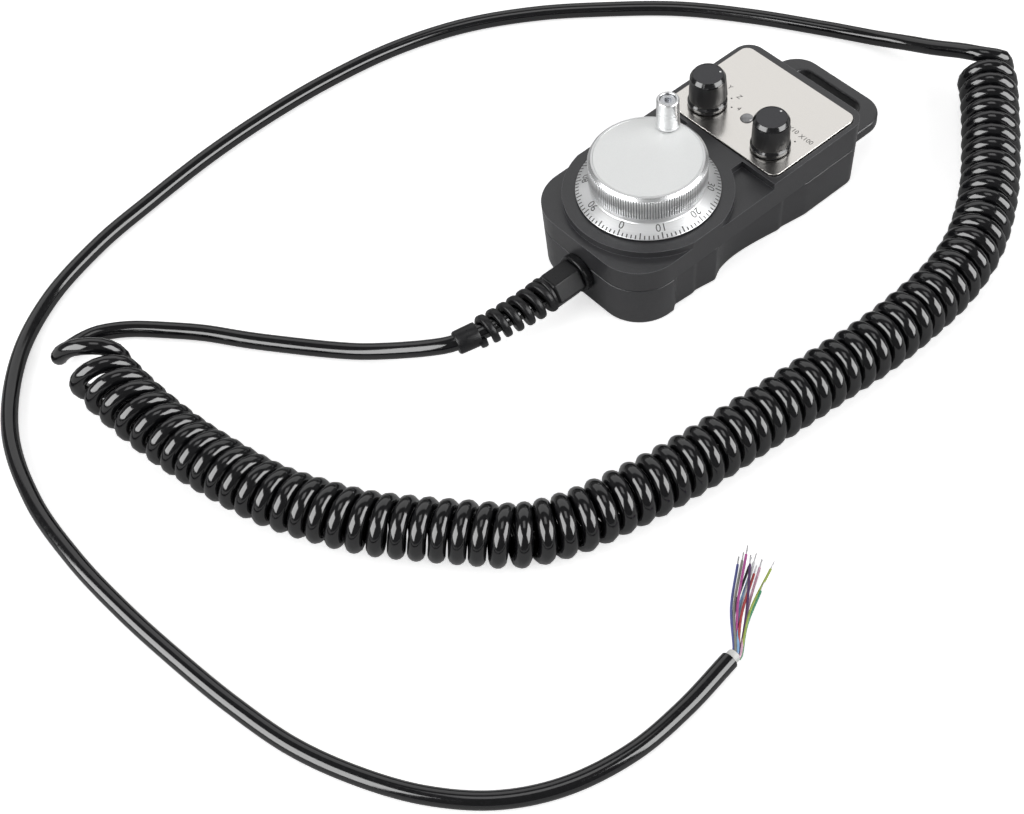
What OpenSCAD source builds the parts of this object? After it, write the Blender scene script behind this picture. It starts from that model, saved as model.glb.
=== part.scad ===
// Pulse generator handwheel: a hand-held pendant with a graduated crank wheel,
// two rotary selector knobs and a coiled cable.
// Millimetres. The back of the case lies on z = 0, the wheel turns about the Z axis,
// and the hanger loop is at the +Y end.

/* [Case] */
// Width of the case across its sides at the back face
case_w = 66.8; // [62:0.2:80]
// Distance from the wheel axis to the near end at the back face
case_near = 37.8; // [36:0.1:50]
// Distance from the wheel axis to the far end at the back face
case_far = 92.5; // [88:0.5:120]
// Radius of the two corners at the wheel end
near_corner_r = 18; // [12:0.5:22]
// Radius of the two corners at the hanger end
far_corner_r = 6.5; // [4:0.5:9]
// Thickness of the side walls
wall_t = 2.5; // [1.6:0.1:3.5]
// Thickness of the floor
floor_t = 2.5; // [1.6:0.1:4]
// Thickness of the deck and of the raised plateau above their hollows
deck_t = 2.4; // [1.6:0.1:3.5]
// How far the sides lean out for each millimetre of height
draft = 0.04; // [0:0.005:0.06]
// Height of the rear case up to the parting line
rear_h = 20.5; // [20:0.5:26]
// Thickness of the seal in the parting line
seal_t = 0.5; // [0.3:0.1:1]
// Height of the cover from the seal to the deck
cover_h = 11; // [9:0.5:16]
// Height of the ring pad, neck and panel frame above the deck
plateau_h = 3.2; // [2.6:0.1:5]
// Chamfer round the back face
back_chamfer = 0.9; // [0.3:0.1:2]
// Chamfer round the top edge of the cover
top_chamfer = 0.7; // [0.2:0.1:1.5]

/* [Grips] */
// Depth of the sawtooth steps in the sides
grip_step = 1.9; // [0.5:0.1:2.5]
// Depth of the finger bay in each side
grip_bay = 4.2; // [2.6:0.1:5.5]

/* [Deck] */
// Radius of the ring pad below the dial
pad_r = 35.6; // [34:0.1:38]
// Width of the neck that joins the ring pad to the panel frame
neck_w = 32; // [16:1:44]
// Distance from the wheel axis to the near edge of the panel frame
frame_near = 38.4; // [37:0.1:44]

/* [Hanger] */
// Width of the hanger loop
loop_w = 55.4; // [40:0.2:62]
// How far the loop reaches beyond the far end
loop_reach = 24.9; // [16:0.1:40]
// Thickness of the loop
loop_t = 5.4; // [3:0.1:7]
// Height of the loop's lower face
loop_z = 13.3; // [4:0.1:14]
// Width of the outer bar of the loop
loop_bar = 5.7; // [3:0.1:9]
// Radius of the loop's outer corners
loop_corner_r = 12; // [6:0.5:16]
// Width of the slot in the loop
slot_w = 36; // [20:0.5:40]
// Land between the case and the slot
slot_land = 3.6; // [2:0.1:6]
// Radius of the slot's far corners
slot_corner_r = 5; // [1:0.5:5]

/* [Panel] */
// Width of the metal panel plate
plate_w = 64.4; // [56:0.2:65]
// Distance from the wheel axis to the near edge of the plate
plate_near = 40.2; // [40:0.1:42]
// Length of the plate
plate_len = 49.9; // [44:0.1:51]
// Thickness of the plate
plate_t = 1.2; // [0.8:0.1:2]
// Depth of the recess that the plate lies in
plate_sink = 0.4; // [0.2:0.05:0.6]
// Gap round the plate in its recess
plate_gap = 0.4; // [0.2:0.05:0.6]
// Radius of the plate's corners
plate_corner_r = 4; // [1:0.5:6]
// Diameter of the signal lamp
led_d = 5; // [3:0.5:6]
// Distance from the wheel axis to the signal lamp
led_y = 57.3; // [54:0.1:64]

/* [Handwheel] */
// Diameter of the graduated dial skirt
dial_d = 60; // [56:0.5:62]
// Gap between the ring pad and the dial
dial_gap = 0.7; // [0.4:0.1:1.5]
// Height of the upright rim at the edge of the dial
dial_rim_h = 0.6; // [0.4:0.1:1.5]
// Height of the dial's cone
dial_cone_h = 3.2; // [2:0.1:6]
// Height of the plain neck above the dial
wheel_neck_h = 3.3; // [2:0.1:6]
// Diameter of the plain neck
wheel_neck_d = 48; // [44:0.5:48.5]
// Diameter of the knurled band over its teeth
band_d = 49.2; // [49:0.1:52]
// Height of the knurled band
band_h = 9.2; // [6:0.1:14]
// Number of teeth in the knurl
knurl_teeth = 140; // [60:1:160]
// Depth of the knurl's teeth
knurl_depth = 0.4; // [0.2:0.05:0.6]
// Chamfer above the knurled band
wheel_chamfer = 1.35; // [0.5:0.05:2]
// Thickness of the top web of the wheel
web_t = 3.2; // [2.6:0.1:5]
// Thickness of the wheel's outer wall
wheel_wall = 2.4; // [1.6:0.1:3]
// Diameter of the wheel's hub
hub_d = 18; // [14:0.5:24]
// Diameter of the disc let into the top of the wheel
cap_d = 44.4; // [44:0.1:45]
// Thickness of the disc let into the top of the wheel
cap_t = 0.8; // [0.5:0.1:1.5]

/* [Crank] */
// Distance from the wheel axis to the crank's axis
crank_offset = 19.5; // [17:0.1:19.5]
// Direction of the crank from +X at rest
crank_angle = 111.4; // [0:0.1:360]
// Diameter of the crank sleeve at its foot
sleeve_d = 10; // [9:0.1:12]
// Diameter of the crank sleeve at its top
sleeve_top_d = 9.3; // [9:0.1:12]
// Length of the crank sleeve
sleeve_len = 14.3; // [10:0.1:30]
// Diameter of the recess in the top of the sleeve
sleeve_recess_d = 6.9; // [6.6:0.1:7.4]
// Depth of the recess in the top of the sleeve
sleeve_recess_h = 3.6; // [3.2:0.1:6]
// Diameter of the screw that the sleeve turns on
crank_screw_d = 4.5; // [4.2:0.1:4.8]
// Thickness of the washer below the sleeve
crank_washer_t = 0.4; // [0.3:0.1:1]

/* [Encoder] */
// Diameter of the encoder shaft
shaft_d = 6; // [5:0.5:6]
// Outer diameter of the encoder housing
encoder_d = 49; // [46:0.5:50]
// Wall of the encoder housing
encoder_wall = 2; // [1.4:0.1:2.5]
// Diameter of the encoder flange
flange_d = 59; // [58:0.5:60]
// Thickness of the encoder flange
flange_t = 2; // [1.5:0.1:3]
// Diameter of the neck that passes the cover
encoder_neck_d = 24; // [22:0.5:28]
// Outer diameter of the ball bearings
bearing_d = 19; // [15:0.5:19]
// Width of each ball bearing
bearing_w = 6; // [4:0.5:6]
// Diameter of the code disc
code_disc_d = 40; // [34:0.5:41]
// Diameter of the detent wheel over its teeth
detent_d = 36; // [30:0.5:36]
// Number of detents, one for each division of the dial
detent_teeth = 100; // [50:1:100]
// Depth of the detent teeth
detent_depth = 0.5; // [0.3:0.05:0.8]

/* [Knobs] */
// Distance of each knob from the middle line
knob_x = 18.5; // [16:0.1:21]
// Distance from the wheel axis to the knobs
knob_y = 52.3; // [50:0.1:56]
// Diameter of the knob's foot
knob_foot_d = 17; // [16:0.1:20]
// Diameter of the knob's grip at its lower end
knob_d = 16; // [15.6:0.1:17]
// Diameter of the knob's grip at its upper end
knob_top_d = 14.8; // [14.4:0.1:15.6]
// Height of the knob
knob_h = 16; // [14:0.1:22]
// Height of the knob's foot
knob_foot_h = 3.2; // [2:0.1:5]
// Diameter of the inlay in the top of the knob
knob_cap_d = 12.6; // [10:0.1:13]
// Angle between two switch positions
switch_step = 30; // [15:15:45]
// Diameter of the switch bodies
switch_d = 20; // [18:0.5:20.5]
// Height of the switch bodies
switch_h = 17; // [12:0.5:20]
// Diameter of the switch's threaded bush
bush_d = 9; // [8:0.5:9]
// Number of solder pins on each switch
switch_pins = 12; // [4:1:14]

/* [Gland] */
// Height of the cable's axis where it enters the case
gland_z = 15.2; // [14:0.1:15.5]
// Diameter of the gland's thread through the wall
gland_thread_d = 8.4; // [8.2:0.1:8.8]
// Diameter of the gland's outer flange
gland_flange_d = 15; // [13:0.1:18]
// Thickness of the gland's outer flange
gland_flange_t = 1.6; // [1:0.1:3]
// Width of the gland nut across its corners
gland_nut_d = 16.4; // [15.8:0.1:20]
// Length of the gland nut
gland_nut_len = 17; // [14:0.1:24]
// Outer diameter of the spiral bend relief at the nut
relief_d = 15.6; // [14:0.1:18]
// Outer diameter of the spiral bend relief at its collar
relief_end_d = 12.9; // [12.9:0.1:14]
// Length of the bend relief without its collar
relief_len = 34; // [26:0.5:36]
// Number of turns in the spiral
relief_turns = 6; // [4:0.5:7]
// Thickness of the spiral's wire
relief_wire = 2.8; // [2.2:0.1:2.9]
// Outer diameter of the collar at the end of the bend relief
collar_d = 10.2; // [9.6:0.1:13]
// Length of the collar
collar_len = 9; // [6:0.5:9]

/* [Cable] */
// Diameter of the cable's jacket
cable_d = 7; // [6.4:0.1:7]
// Outer diameter of the coiled stretch
coil_d = 25; // [22:0.5:26]
// Diameter of the cable's inner sheath
core_d = 5.2; // [4:0.1:6]
// Number of wires at the bare end
wire_count = 10; // [4:1:12]
// Diameter of each wire
wire_d = 1.4; // [1:0.1:1.6]
// Length of the bare wires
wire_len = 46; // [20:1:60]

/* [Fits] */
// Radial clearance of a shaft that turns in its bore
running_fit = 0.05; // [0.02:0.01:0.1]
// Radial clearance of a part that is pushed or screwed home
seat_fit = 0.03; // [0.01:0.01:0.1]
// Radial clearance of a screw or bush in a through hole
through_fit = 0.2; // [0.1:0.05:0.4]
// Gap between pieces that move past each other
pass_gap = 0.3; // [0.2:0.05:0.5]

/* [Hidden] */

eps = 0.01;
cut = 1;
$fn = 64;

// Heights that follow from the case
seam_z = rear_h + seal_t;
deck_z = seam_z + cover_h;
pad_z = deck_z + plateau_h;
cavity_top_z = deck_z - deck_t;
panel_under_z = pad_z - deck_t;
plate_z = pad_z - plate_sink;
plate_top_z = plate_z + plate_t;

// Case outline
case_half = case_w / 2;
cable_r = cable_d / 2;

// Case screws
screw_r = 1.5;
screw_head_r = 2.75;
screw_head_h = 2;
screw_recess = 3;
boss_r = 3.4;
boss_inset = boss_r + 0.4;
screw_grip = 6.5;
near_boss_a = 45;
boss_places = [
    for (s = [-1, 1]) [
        s * (case_half - near_corner_r + (near_corner_r - wall_t - boss_inset) * cos(near_boss_a)),
        -case_near + near_corner_r - (near_corner_r - wall_t - boss_inset) * sin(near_boss_a)
    ],
    for (s = [-1, 1]) [s * (case_half - wall_t - boss_inset), case_far - wall_t - boss_inset]
];

// Sides of the rear case: [distance from the wheel axis, depth below the flush side]
bay_near_y = 9;
bay_far_y = 45.5;
bay_steps = 10;
bay_skew = 0.7;
bay_rim = grip_step * 0.8;
function bay_depth(u) = bay_rim + (grip_bay - bay_rim) * sin(180 * pow(u, bay_skew));
side_profile = concat(
    [
        [-17.5, 0],
        [-15, grip_step],
        [-5.5, grip_step * 0.63],
        [-3.5, grip_step * 0.9],
        [6.5, grip_step * 0.05]
    ],
    [for (i = [0 : bay_steps]) [
        bay_near_y + (bay_far_y - bay_near_y) * i / bay_steps,
        bay_depth(i / bay_steps)
    ]],
    [
        [47.5, grip_step],
        [58.5, grip_step * 0.1],
        [60, 0]
    ]
);

// Handwheel
dial_r = dial_d / 2;
band_r = band_d / 2;
wheel_z = pad_z + dial_gap;
dial_cone_z = wheel_z + dial_rim_h;
wheel_neck_z = dial_cone_z + dial_cone_h;
band_z = wheel_neck_z + wheel_neck_h;
wheel_edge_z = band_z + band_h;
wheel_top_z = wheel_edge_z + wheel_chamfer;
cap_z = wheel_top_z - cap_t;
web_under_z = cap_z - web_t;
wheel_screw_r = 2;
wheel_screw_head_r = 3.5;
wheel_screw_head_h = 1.6;
wheel_screw_z = cap_z - wheel_screw_head_h - 0.2;
shaft_top_z = wheel_screw_z - 0.8;

// Crank
crank_at = [crank_offset * cos(crank_angle), crank_offset * sin(crank_angle)];
crank_boss_r = 4.2;
crank_boss_h = 5;
crank_thread_r = 2;
crank_washer_r = 4.3;
sleeve_z = wheel_top_z + crank_washer_t + pass_gap * 0.5;
sleeve_top_z = sleeve_z + sleeve_len;
sleeve_floor_z = sleeve_top_z - sleeve_recess_h;
crank_head_r = sleeve_recess_d / 2 - pass_gap;
crank_head_h = 2.6;

// Encoder, hung from the underside of the ring pad
flange_z = panel_under_z - flange_t;
encoder_r = encoder_d / 2;
encoder_bore_r = encoder_r - encoder_wall;
encoder_ceiling_z = flange_z - encoder_wall;
lid_t = 2;
encoder_bottom_z = floor_t + 7.5;
lid_z = encoder_bottom_z - lid_t;
upper_bearing_z = pad_z - 1.2 - bearing_w;
lower_bearing_z = upper_bearing_z - 1.8 - bearing_w;
bearing_tube_z = lower_bearing_z - 0.2;
board_z = encoder_bottom_z + 2;
board_t = 1.6;
code_disc_z = board_z + board_t + 2.3;
code_disc_t = 0.6;
code_hub_r = 6;
code_hub_h = 2.6;
detent_z = bearing_tube_z - 1.7;
detent_t = 1.3;
plunger_r = 1.8;
flange_screw_at = (encoder_r + flange_d / 2) / 2;
flange_screw_r = 1.25;
flange_screw_head_r = 2.1;
flange_screw_head_h = 1.6;

// Switches and knobs
knob_z = plate_top_z + pass_gap;
knob_hollow_r = 7;
knob_hollow_h = 3.6;
knob_shaft_h = 9;
knob_cap_h = 1.4;
knob_bevel = 0.6;
pointer_w = 4;
pointer_proud = 0.45;
switch_shaft_r = 3;
switch_nut_r = 6.3;
switch_nut_h = 1.8;
bush_top_z = knob_z + knob_hollow_h - pass_gap;
switch_bottom_z = panel_under_z - switch_h;
axis_at = [-knob_x, knob_y];
multiplier_at = [knob_x, knob_y];
axis_rest = -switch_step;
multiplier_rest = 0;

// Signal lamp
led_r = led_d / 2;
led_dome = 0.9;
led_holder_t = 0.8;
led_holder_h = 5;

// Gland, on the axis of the cable where it enters the case
gland_y = -(case_near + draft * (gland_z + gland_flange_d / 2));
gland_inner_y = -(case_near - wall_t);
gland_thread_r = gland_thread_d / 2;
gland_sleeve_r = 6;
gland_sleeve_len = 8;
gland_nut_y = gland_y - gland_flange_t;
gland_front_y = gland_nut_y - gland_nut_len;
gland_seal_len = 4;
locknut_t = 2.2;
locknut_r = 6.6;
cable_pass_r = cable_r + through_fit;

// Bend relief: its axis sinks and turns aside on the way to the collar
relief_side = 5;
relief_drop = 1.5;
relief_base = 1.6;
relief_steps = 12;
function relief_axis(s) = [
    -relief_side * s * s,
    gland_front_y - relief_len * s,
    gland_z - relief_drop * s * s
];
function wound_share(s) = 0.05 + 0.91 * s;
function relief_radius(s) = (relief_d + (relief_end_d - relief_d) * s - relief_wire) / 2;

// Cable route: points chosen along the floor, the first stretch with its heights
lead_start_y = gland_inner_y + locknut_t + 2;
lead_route = concat(
    [
        [0, lead_start_y, gland_z],
        [0, gland_y, gland_z],
        [0, gland_front_y, gland_z]
    ],
    [for (s = [0.25, 0.5, 0.75, 1]) relief_axis(s)],
    [
        [-8.5, -101, 13],
        [-14, -107, 10.5],
        [-21, -113, 8],
        [-29, -119.5, 5.5],
        [-38, -127, cable_r],
        [-48, -135, cable_r],
        [-62, -146, cable_r],
        [-76, -156.5, cable_r],
        [-92, -167.5, cable_r],
        [-105.5, -179, cable_r],
        [-114.5, -187.5, cable_r],
        [-120, -194.5, cable_r],
        [-123.5, -201, cable_r],
        [-124.5, -207.5, 3.8],
        [-123, -214.5, 5.5],
        [-119.5, -219.5, 9],
        [-114, -221.5, 14],
        [-103, -214, 15]
    ]
);
coil_route = [
    [-107, -212], [-92, -214], [-68, -213], [-44, -210], [-21, -205], [0, -199], [19, -190],
    [36, -180], [51, -168], [66, -155], [80, -142], [89, -125], [94, -107], [98, -88],
    [101, -67], [103, -46], [105, -25], [107, -3], [109, 19], [109, 42], [107, 66],
    [100, 90], [85, 116], [64, 142], [44, 164], [35, 171]
];
tail_start = [
    [42, 171.5, 20],
    [33, 170, 21.2],
    [24, 168.5, 18.5],
    [11, 166.5, 13.5],
    [-3, 165, 8.5],
    [-16.5, 161.5, 5],
    [-29, 156.5, 3.6]
];
tail_route = [
    [-41, 150], [-70, 133], [-98, 113], [-122, 89],
    [-144, 63], [-162, 33], [-173, 0], [-178, -35], [-179, -70], [-177, -105], [-172, -140],
    [-166, -172], [-154, -205], [-134, -233], [-104, -255], [-69, -266], [-34, -269],
    [-1, -268], [30, -265], [59, -261], [87, -255], [112, -245], [134, -232], [152, -215],
    [164, -194], [170, -169], [170, -144], [167, -119]
];
core_len = 3;
wire_spread = 15;
wire_lift = 5;
wire_root = 3;
wire_turn = 28;

// ---- shapes that several pieces share ----

function arc_points(centre, r, from, to, steps) = [
    for (i = [0 : steps])
        let (a = from + (to - from) * i / steps)
        [centre[0] + r * cos(a), centre[1] + r * sin(a)]
];

// Outline of the case, moved in by inset, with the grips cut to the share given
function case_outline(inset, grips) =
    let (
        x = case_half - near_corner_r,
        y = -case_near + near_corner_r,
        fx = case_half - far_corner_r,
        fy = case_far - far_corner_r,
        near_r = near_corner_r - inset,
        far_r = far_corner_r - inset
    )
    concat(
        arc_points([x, y], near_r, -90, 0, 9),
        [for (p = side_profile) [case_half - inset - grips * p[1], p[0]]],
        arc_points([fx, fy], far_r, 0, 90, 6),
        arc_points([-fx, fy], far_r, 90, 180, 6),
        [for (i = [len(side_profile) - 1 : -1 : 0])
            [inset - case_half + grips * side_profile[i][1], side_profile[i][0]]],
        arc_points([-x, y], near_r, 180, 270, 9)
    );

// The leaning outline of the case at a height, as a ring of points in space
function case_ring(z, inset, grips) = [
    for (p = case_outline(inset - draft * z, grips)) [p[0], p[1], z]
];

// Closed solid through rings that have the same number of points
module skin(rings) {
    n = len(rings[0]);
    last = len(rings) - 1;
    points = [for (ring = rings) for (p = ring) p];
    sides = [
        for (i = [0 : last - 1])
            for (j = [0 : n - 1])
                let (k = (j + 1) % n)
                for (face = [
                    [i * n + j, (i + 1) * n + j, (i + 1) * n + k],
                    [i * n + j, (i + 1) * n + k, i * n + k]
                ]) face
    ];
    foot = [for (j = [0 : n - 1]) j];
    head = [for (j = [n - 1 : -1 : 0]) last * n + j];
    polyhedron(points = points, faces = concat([foot], sides, [head]), convexity = 8);
}

function unit(v) = v / norm(v);

// Direction of a route at one of its points
function heading(route, i) = unit(
    route[min(i + 1, len(route) - 1)] - route[max(i - 1, 0)]
);

// Ring of points square to a direction that isn't upright
function tube_ring(centre, direction, r, sides) =
    let (
        across = unit(cross([0, 0, 1], direction)),
        upward = cross(direction, across)
    )
    [for (j = [0 : sides - 1])
        let (a = 360 * (j + 0.5) / sides)
        centre + r * (cos(a) * across + sin(a) * upward)];

module tube(route, r, sides) {
    skin([for (i = [0 : len(route) - 1]) tube_ring(route[i], heading(route, i), r, sides)]);
}

function at_height(route, z) = [for (p = route) [p[0], p[1], z]];

module rounded_plate(w, from_y, to_y, near_r, far_r) {
    polygon(concat(
        arc_points([w / 2 - near_r, from_y + near_r], near_r, -90, 0, 8),
        arc_points([w / 2 - far_r, to_y - far_r], far_r, 0, 90, 12),
        arc_points([far_r - w / 2, to_y - far_r], far_r, 90, 180, 12),
        arc_points([near_r - w / 2, from_y + near_r], near_r, 180, 270, 8)
    ));
}

module at(place, z = 0) {
    translate([place[0], place[1], z]) children();
}

module ring(outer_r, inner_r, h) {
    difference() {
        cylinder(r = outer_r, h = h);
        translate([0, 0, -cut]) cylinder(r = inner_r, h = h + 2 * cut);
    }
}

// Cylinder along -Y from a place on the cable's axis at the gland
module along_cable(y, r, len) {
    translate([0, y, gland_z]) rotate([90, 0, 0]) cylinder(r = r, h = len);
}

module hex_along_cable(y, r, len) {
    translate([0, y, gland_z]) rotate([90, 0, 0]) cylinder(r = r, h = len, $fn = 6);
}

// Disc with upright teeth round its edge
module toothed_disc(r, depth, teeth, h) {
    linear_extrude(height = h)
        polygon([
            for (i = [0 : 2 * teeth - 1])
                let (a = 180 * i / teeth, tip = r - (i % 2) * depth)
                [tip * cos(a), tip * sin(a)]
        ]);
}

// ---- case ----

module case_hollow(from_z, to_z) {
    translate([0, 0, from_z])
        linear_extrude(height = to_z - from_z)
            polygon(case_outline(wall_t, 1));
}

module hanger_loop() {
    translate([0, 0, loop_z])
        linear_extrude(height = loop_t)
            difference() {
                rounded_plate(
                    loop_w, case_far - wall_t / 2, case_far + loop_reach, 1, loop_corner_r
                );
                rounded_plate(
                    slot_w, case_far + slot_land, case_far + loop_reach - loop_bar,
                    1.5, slot_corner_r
                );
            }
}

module rear_case() {
    color("#26272a") difference() {
        union() {
            difference() {
                skin([
                    case_ring(0, back_chamfer, 1),
                    case_ring(back_chamfer, 0, 1),
                    case_ring(rear_h, 0, 1)
                ]);
                case_hollow(floor_t, rear_h + cut);
            }
            for (p = boss_places) at(p, floor_t - eps) cylinder(r = boss_r, h = rear_h - floor_t + eps);
            hanger_loop();
        }
        for (p = boss_places) {
            at(p, -cut) cylinder(r = screw_r + through_fit, h = rear_h + 2 * cut);
            at(p, -cut) cylinder(r = screw_head_r + through_fit, h = screw_recess + cut);
        }
        along_cable(gland_inner_y + cut, gland_thread_r + through_fit, wall_t + 3 * cut);
    }
}

module deck_pockets() {
    translate([0, 0, deck_z])
        linear_extrude(height = plateau_h + cut)
            difference() {
                translate([-case_w, -case_near - case_w])
                    square([2 * case_w, case_far + case_near + 2 * case_w]);
                circle(r = pad_r, $fn = 96);
                translate([-neck_w / 2, 0]) square([neck_w, frame_near + cut]);
                translate([-case_w, frame_near]) square([2 * case_w, case_far]);
            }
}

module top_cover() {
    color("#232427") difference() {
        union() {
            difference() {
                skin([
                    case_ring(seam_z, 0, 0),
                    case_ring(pad_z - top_chamfer, 0, 0),
                    case_ring(pad_z, top_chamfer, 0)
                ]);
                deck_pockets();
                case_hollow(seam_z - cut, cavity_top_z);
                translate([0, 0, cavity_top_z - eps])
                    cylinder(r = flange_d / 2 + through_fit, h = panel_under_z - cavity_top_z + eps);
                translate([0, 0, cavity_top_z - eps])
                    linear_extrude(height = panel_under_z - cavity_top_z + eps)
                        rounded_plate(
                            plate_w - 2 * wall_t, frame_near + wall_t, case_far - 3 * wall_t, 2, 3
                        );
            }
            for (p = boss_places) at(p, seam_z) cylinder(r = boss_r, h = cavity_top_z - seam_z + eps);
        }
        for (p = boss_places) at(p, seam_z - cut) cylinder(r = screw_r + seat_fit, h = screw_grip + cut);
        translate([0, 0, panel_under_z - cut])
            cylinder(r = encoder_neck_d / 2 + through_fit, h = deck_t + 2 * cut);
        for (i = [0 : 2])
            rotate(90 + 120 * i)
                translate([flange_screw_at, 0, panel_under_z - cut])
                    cylinder(r = flange_screw_r + seat_fit, h = cut + deck_t * 0.7);
        translate([0, 0, plate_z])
            linear_extrude(height = plate_sink + cut)
                rounded_plate(
                    plate_w + 2 * plate_gap, plate_near - plate_gap,
                    plate_near + plate_len + plate_gap,
                    plate_corner_r + plate_gap, plate_corner_r + plate_gap
                );
        for (p = [axis_at, multiplier_at])
            at(p, panel_under_z - cut) cylinder(r = bush_d / 2 + through_fit, h = deck_t + 2 * cut);
        translate([0, led_y, panel_under_z - cut])
            cylinder(r = led_r + led_holder_t + through_fit, h = deck_t + 2 * cut);
    }
}

module case_seal() {
    color("#101011") translate([0, 0, rear_h])
        linear_extrude(height = seal_t)
            difference() {
                polygon(case_outline(wall_t * 0.2, 1));
                polygon(case_outline(wall_t, 1));
            }
}

module case_screws() {
    color("#8f9297") for (p = boss_places) at(p) difference() {
        union() {
            translate([0, 0, screw_recess - screw_head_h]) cylinder(r = screw_head_r, h = screw_head_h);
            translate([0, 0, screw_recess - eps])
                cylinder(r = screw_r, h = seam_z + screw_grip - 0.5 - screw_recess);
        }
        for (a = [0, 90])
            rotate(a)
                translate([-screw_head_r * 0.6, -0.4, screw_recess - screw_head_h - cut])
                    cube([screw_head_r * 1.2, 0.8, cut + 1]);
    }
}

// ---- panel ----

module panel_plate() {
    color("#c9c7c1") translate([0, 0, plate_z]) difference() {
        linear_extrude(height = plate_t)
            rounded_plate(
                plate_w, plate_near, plate_near + plate_len, plate_corner_r, plate_corner_r
            );
        for (p = [axis_at, multiplier_at]) at(p, -cut) cylinder(r = bush_d / 2 + through_fit, h = 4 * cut);
        translate([0, led_y, -cut]) cylinder(r = led_r + through_fit, h = 4 * cut);
    }
}

module led_lens() {
    color("#9a9ca0") translate([0, led_y, 0]) {
        translate([0, 0, panel_under_z - led_holder_h * 0.5])
            cylinder(r = led_r, h = plate_top_z + 0.4 - panel_under_z + led_holder_h * 0.5);
        translate([0, 0, plate_top_z + 0.4])
            rotate_extrude()
                polygon(concat(
                    [[0, -eps]],
                    [for (a = [0 : 15 : 90]) [led_r * cos(a), led_dome * sin(a)]]
                ));
    }
}

module led_holder() {
    color("#141415") translate([0, led_y, 0]) {
        translate([0, 0, panel_under_z - led_holder_h])
            ring(led_r + led_holder_t, led_r + seat_fit, plate_z - panel_under_z + led_holder_h);
        translate([0, 0, panel_under_z - 1.5])
            ring(led_r + led_holder_t + 1.2, led_r + led_holder_t, 1.5);
    }
}

// ---- encoder ----

module flange_screws_at() {
    for (i = [0 : 2]) rotate(90 + 120 * i) translate([flange_screw_at, 0, 0]) children();
}

module encoder_housing() {
    color("#1c1d1f") difference() {
        union() {
            translate([0, 0, encoder_bottom_z])
                ring(encoder_r, encoder_bore_r, flange_z - encoder_bottom_z);
            translate([0, 0, encoder_ceiling_z])
                cylinder(r = encoder_r - eps, h = panel_under_z - encoder_ceiling_z);
            translate([0, 0, flange_z]) cylinder(r = flange_d / 2, h = flange_t);
            translate([0, 0, bearing_tube_z])
                cylinder(r = encoder_neck_d / 2, h = pad_z - 0.2 - bearing_tube_z);
        }
        translate([0, 0, bearing_tube_z - cut])
            cylinder(
                r = bearing_d / 2 + seat_fit,
                h = lower_bearing_z + bearing_w - bearing_tube_z + cut
            );
        translate([0, 0, bearing_tube_z]) cylinder(r = bearing_d / 2 - 1, h = pad_z - bearing_tube_z);
        translate([0, 0, upper_bearing_z])
            cylinder(r = bearing_d / 2 + seat_fit, h = pad_z - upper_bearing_z);
        flange_screws_at()
            translate([0, 0, flange_z - cut])
                cylinder(r = flange_screw_r + through_fit, h = flange_t + 2 * cut);
        translate([0, 0, detent_z + detent_t / 2]) rotate([0, -90, 0])
            translate([0, 0, encoder_bore_r - cut])
                cylinder(r = plunger_r + seat_fit, h = encoder_wall + 2 * cut);
    }
}

module encoder_lid() {
    color("#1c1d1f") {
        translate([0, 0, lid_z]) cylinder(r = encoder_r, h = lid_t);
        for (i = [0 : 2])
            rotate(30 + 120 * i)
                translate([encoder_bore_r - 3, 0, encoder_bottom_z - eps])
                    cylinder(r = 1.8, h = board_z - encoder_bottom_z + eps);
    }
}

module encoder_bearings() {
    color("#b9bcc0") for (z = [lower_bearing_z, upper_bearing_z]) translate([0, 0, z]) {
        difference() {
            ring(bearing_d / 2, shaft_d / 2 + running_fit, bearing_w);
            for (face_z = [-cut, bearing_w - 0.4])
                translate([0, 0, face_z]) ring(bearing_d / 2 - 1.6, shaft_d / 2 + 1.6, 0.4 + cut);
        }
    }
}

module encoder_board() {
    color("#1d5a36") translate([0, 0, board_z])
        ring(encoder_bore_r - 0.5, code_hub_r + 1, board_t);
}

module optical_sensor() {
    sensor_w = 9;
    jaw_in = code_disc_d / 2 - 4;
    jaw_out = encoder_bore_r - 0.6;
    gap_z = code_disc_z - 0.6;
    color("#17181a") difference() {
        translate([jaw_in, -sensor_w / 2, board_z + board_t])
            cube([jaw_out - jaw_in - 1.2, sensor_w, code_disc_z + 2.2 - board_z - board_t]);
        translate([jaw_in - cut, -sensor_w, gap_z])
            cube([code_disc_d / 2 + pass_gap - jaw_in + cut, 2 * sensor_w, code_disc_t + 1.2]);
    }
}

module encoder_terminals() {
    color("#2b2c2e") translate([-15, -4, floor_t + 1.2]) difference() {
        cube([30, 8, lid_z - floor_t - 1.2]);
        for (i = [0 : 5])
            translate([2.5 + 5 * i, 4, -cut]) cylinder(r = 1.4, h = cut + 2, $fn = 24);
    }
}

module encoder_screws() {
    color("#8f9297") flange_screws_at() difference() {
        union() {
            translate([0, 0, flange_z - flange_screw_head_h])
                cylinder(r = flange_screw_head_r, h = flange_screw_head_h);
            translate([0, 0, flange_z - eps])
                cylinder(r = flange_screw_r, h = flange_t + deck_t * 0.6);
        }
        translate([0, 0, flange_z - flange_screw_head_h - cut])
            cylinder(r = 1.1, h = cut + 1, $fn = 6);
    }
}

module detent_plunger() {
    nose_at = detent_d / 2 + pass_gap;
    color("#a9acb0") translate([0, 0, detent_z + detent_t / 2]) rotate([0, -90, 0]) {
        translate([0, 0, nose_at + plunger_r]) sphere(r = plunger_r, $fn = 32);
        translate([0, 0, nose_at + plunger_r]) cylinder(r = plunger_r, h = encoder_r - nose_at - plunger_r);
    }
}

// ---- wheel ----

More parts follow.
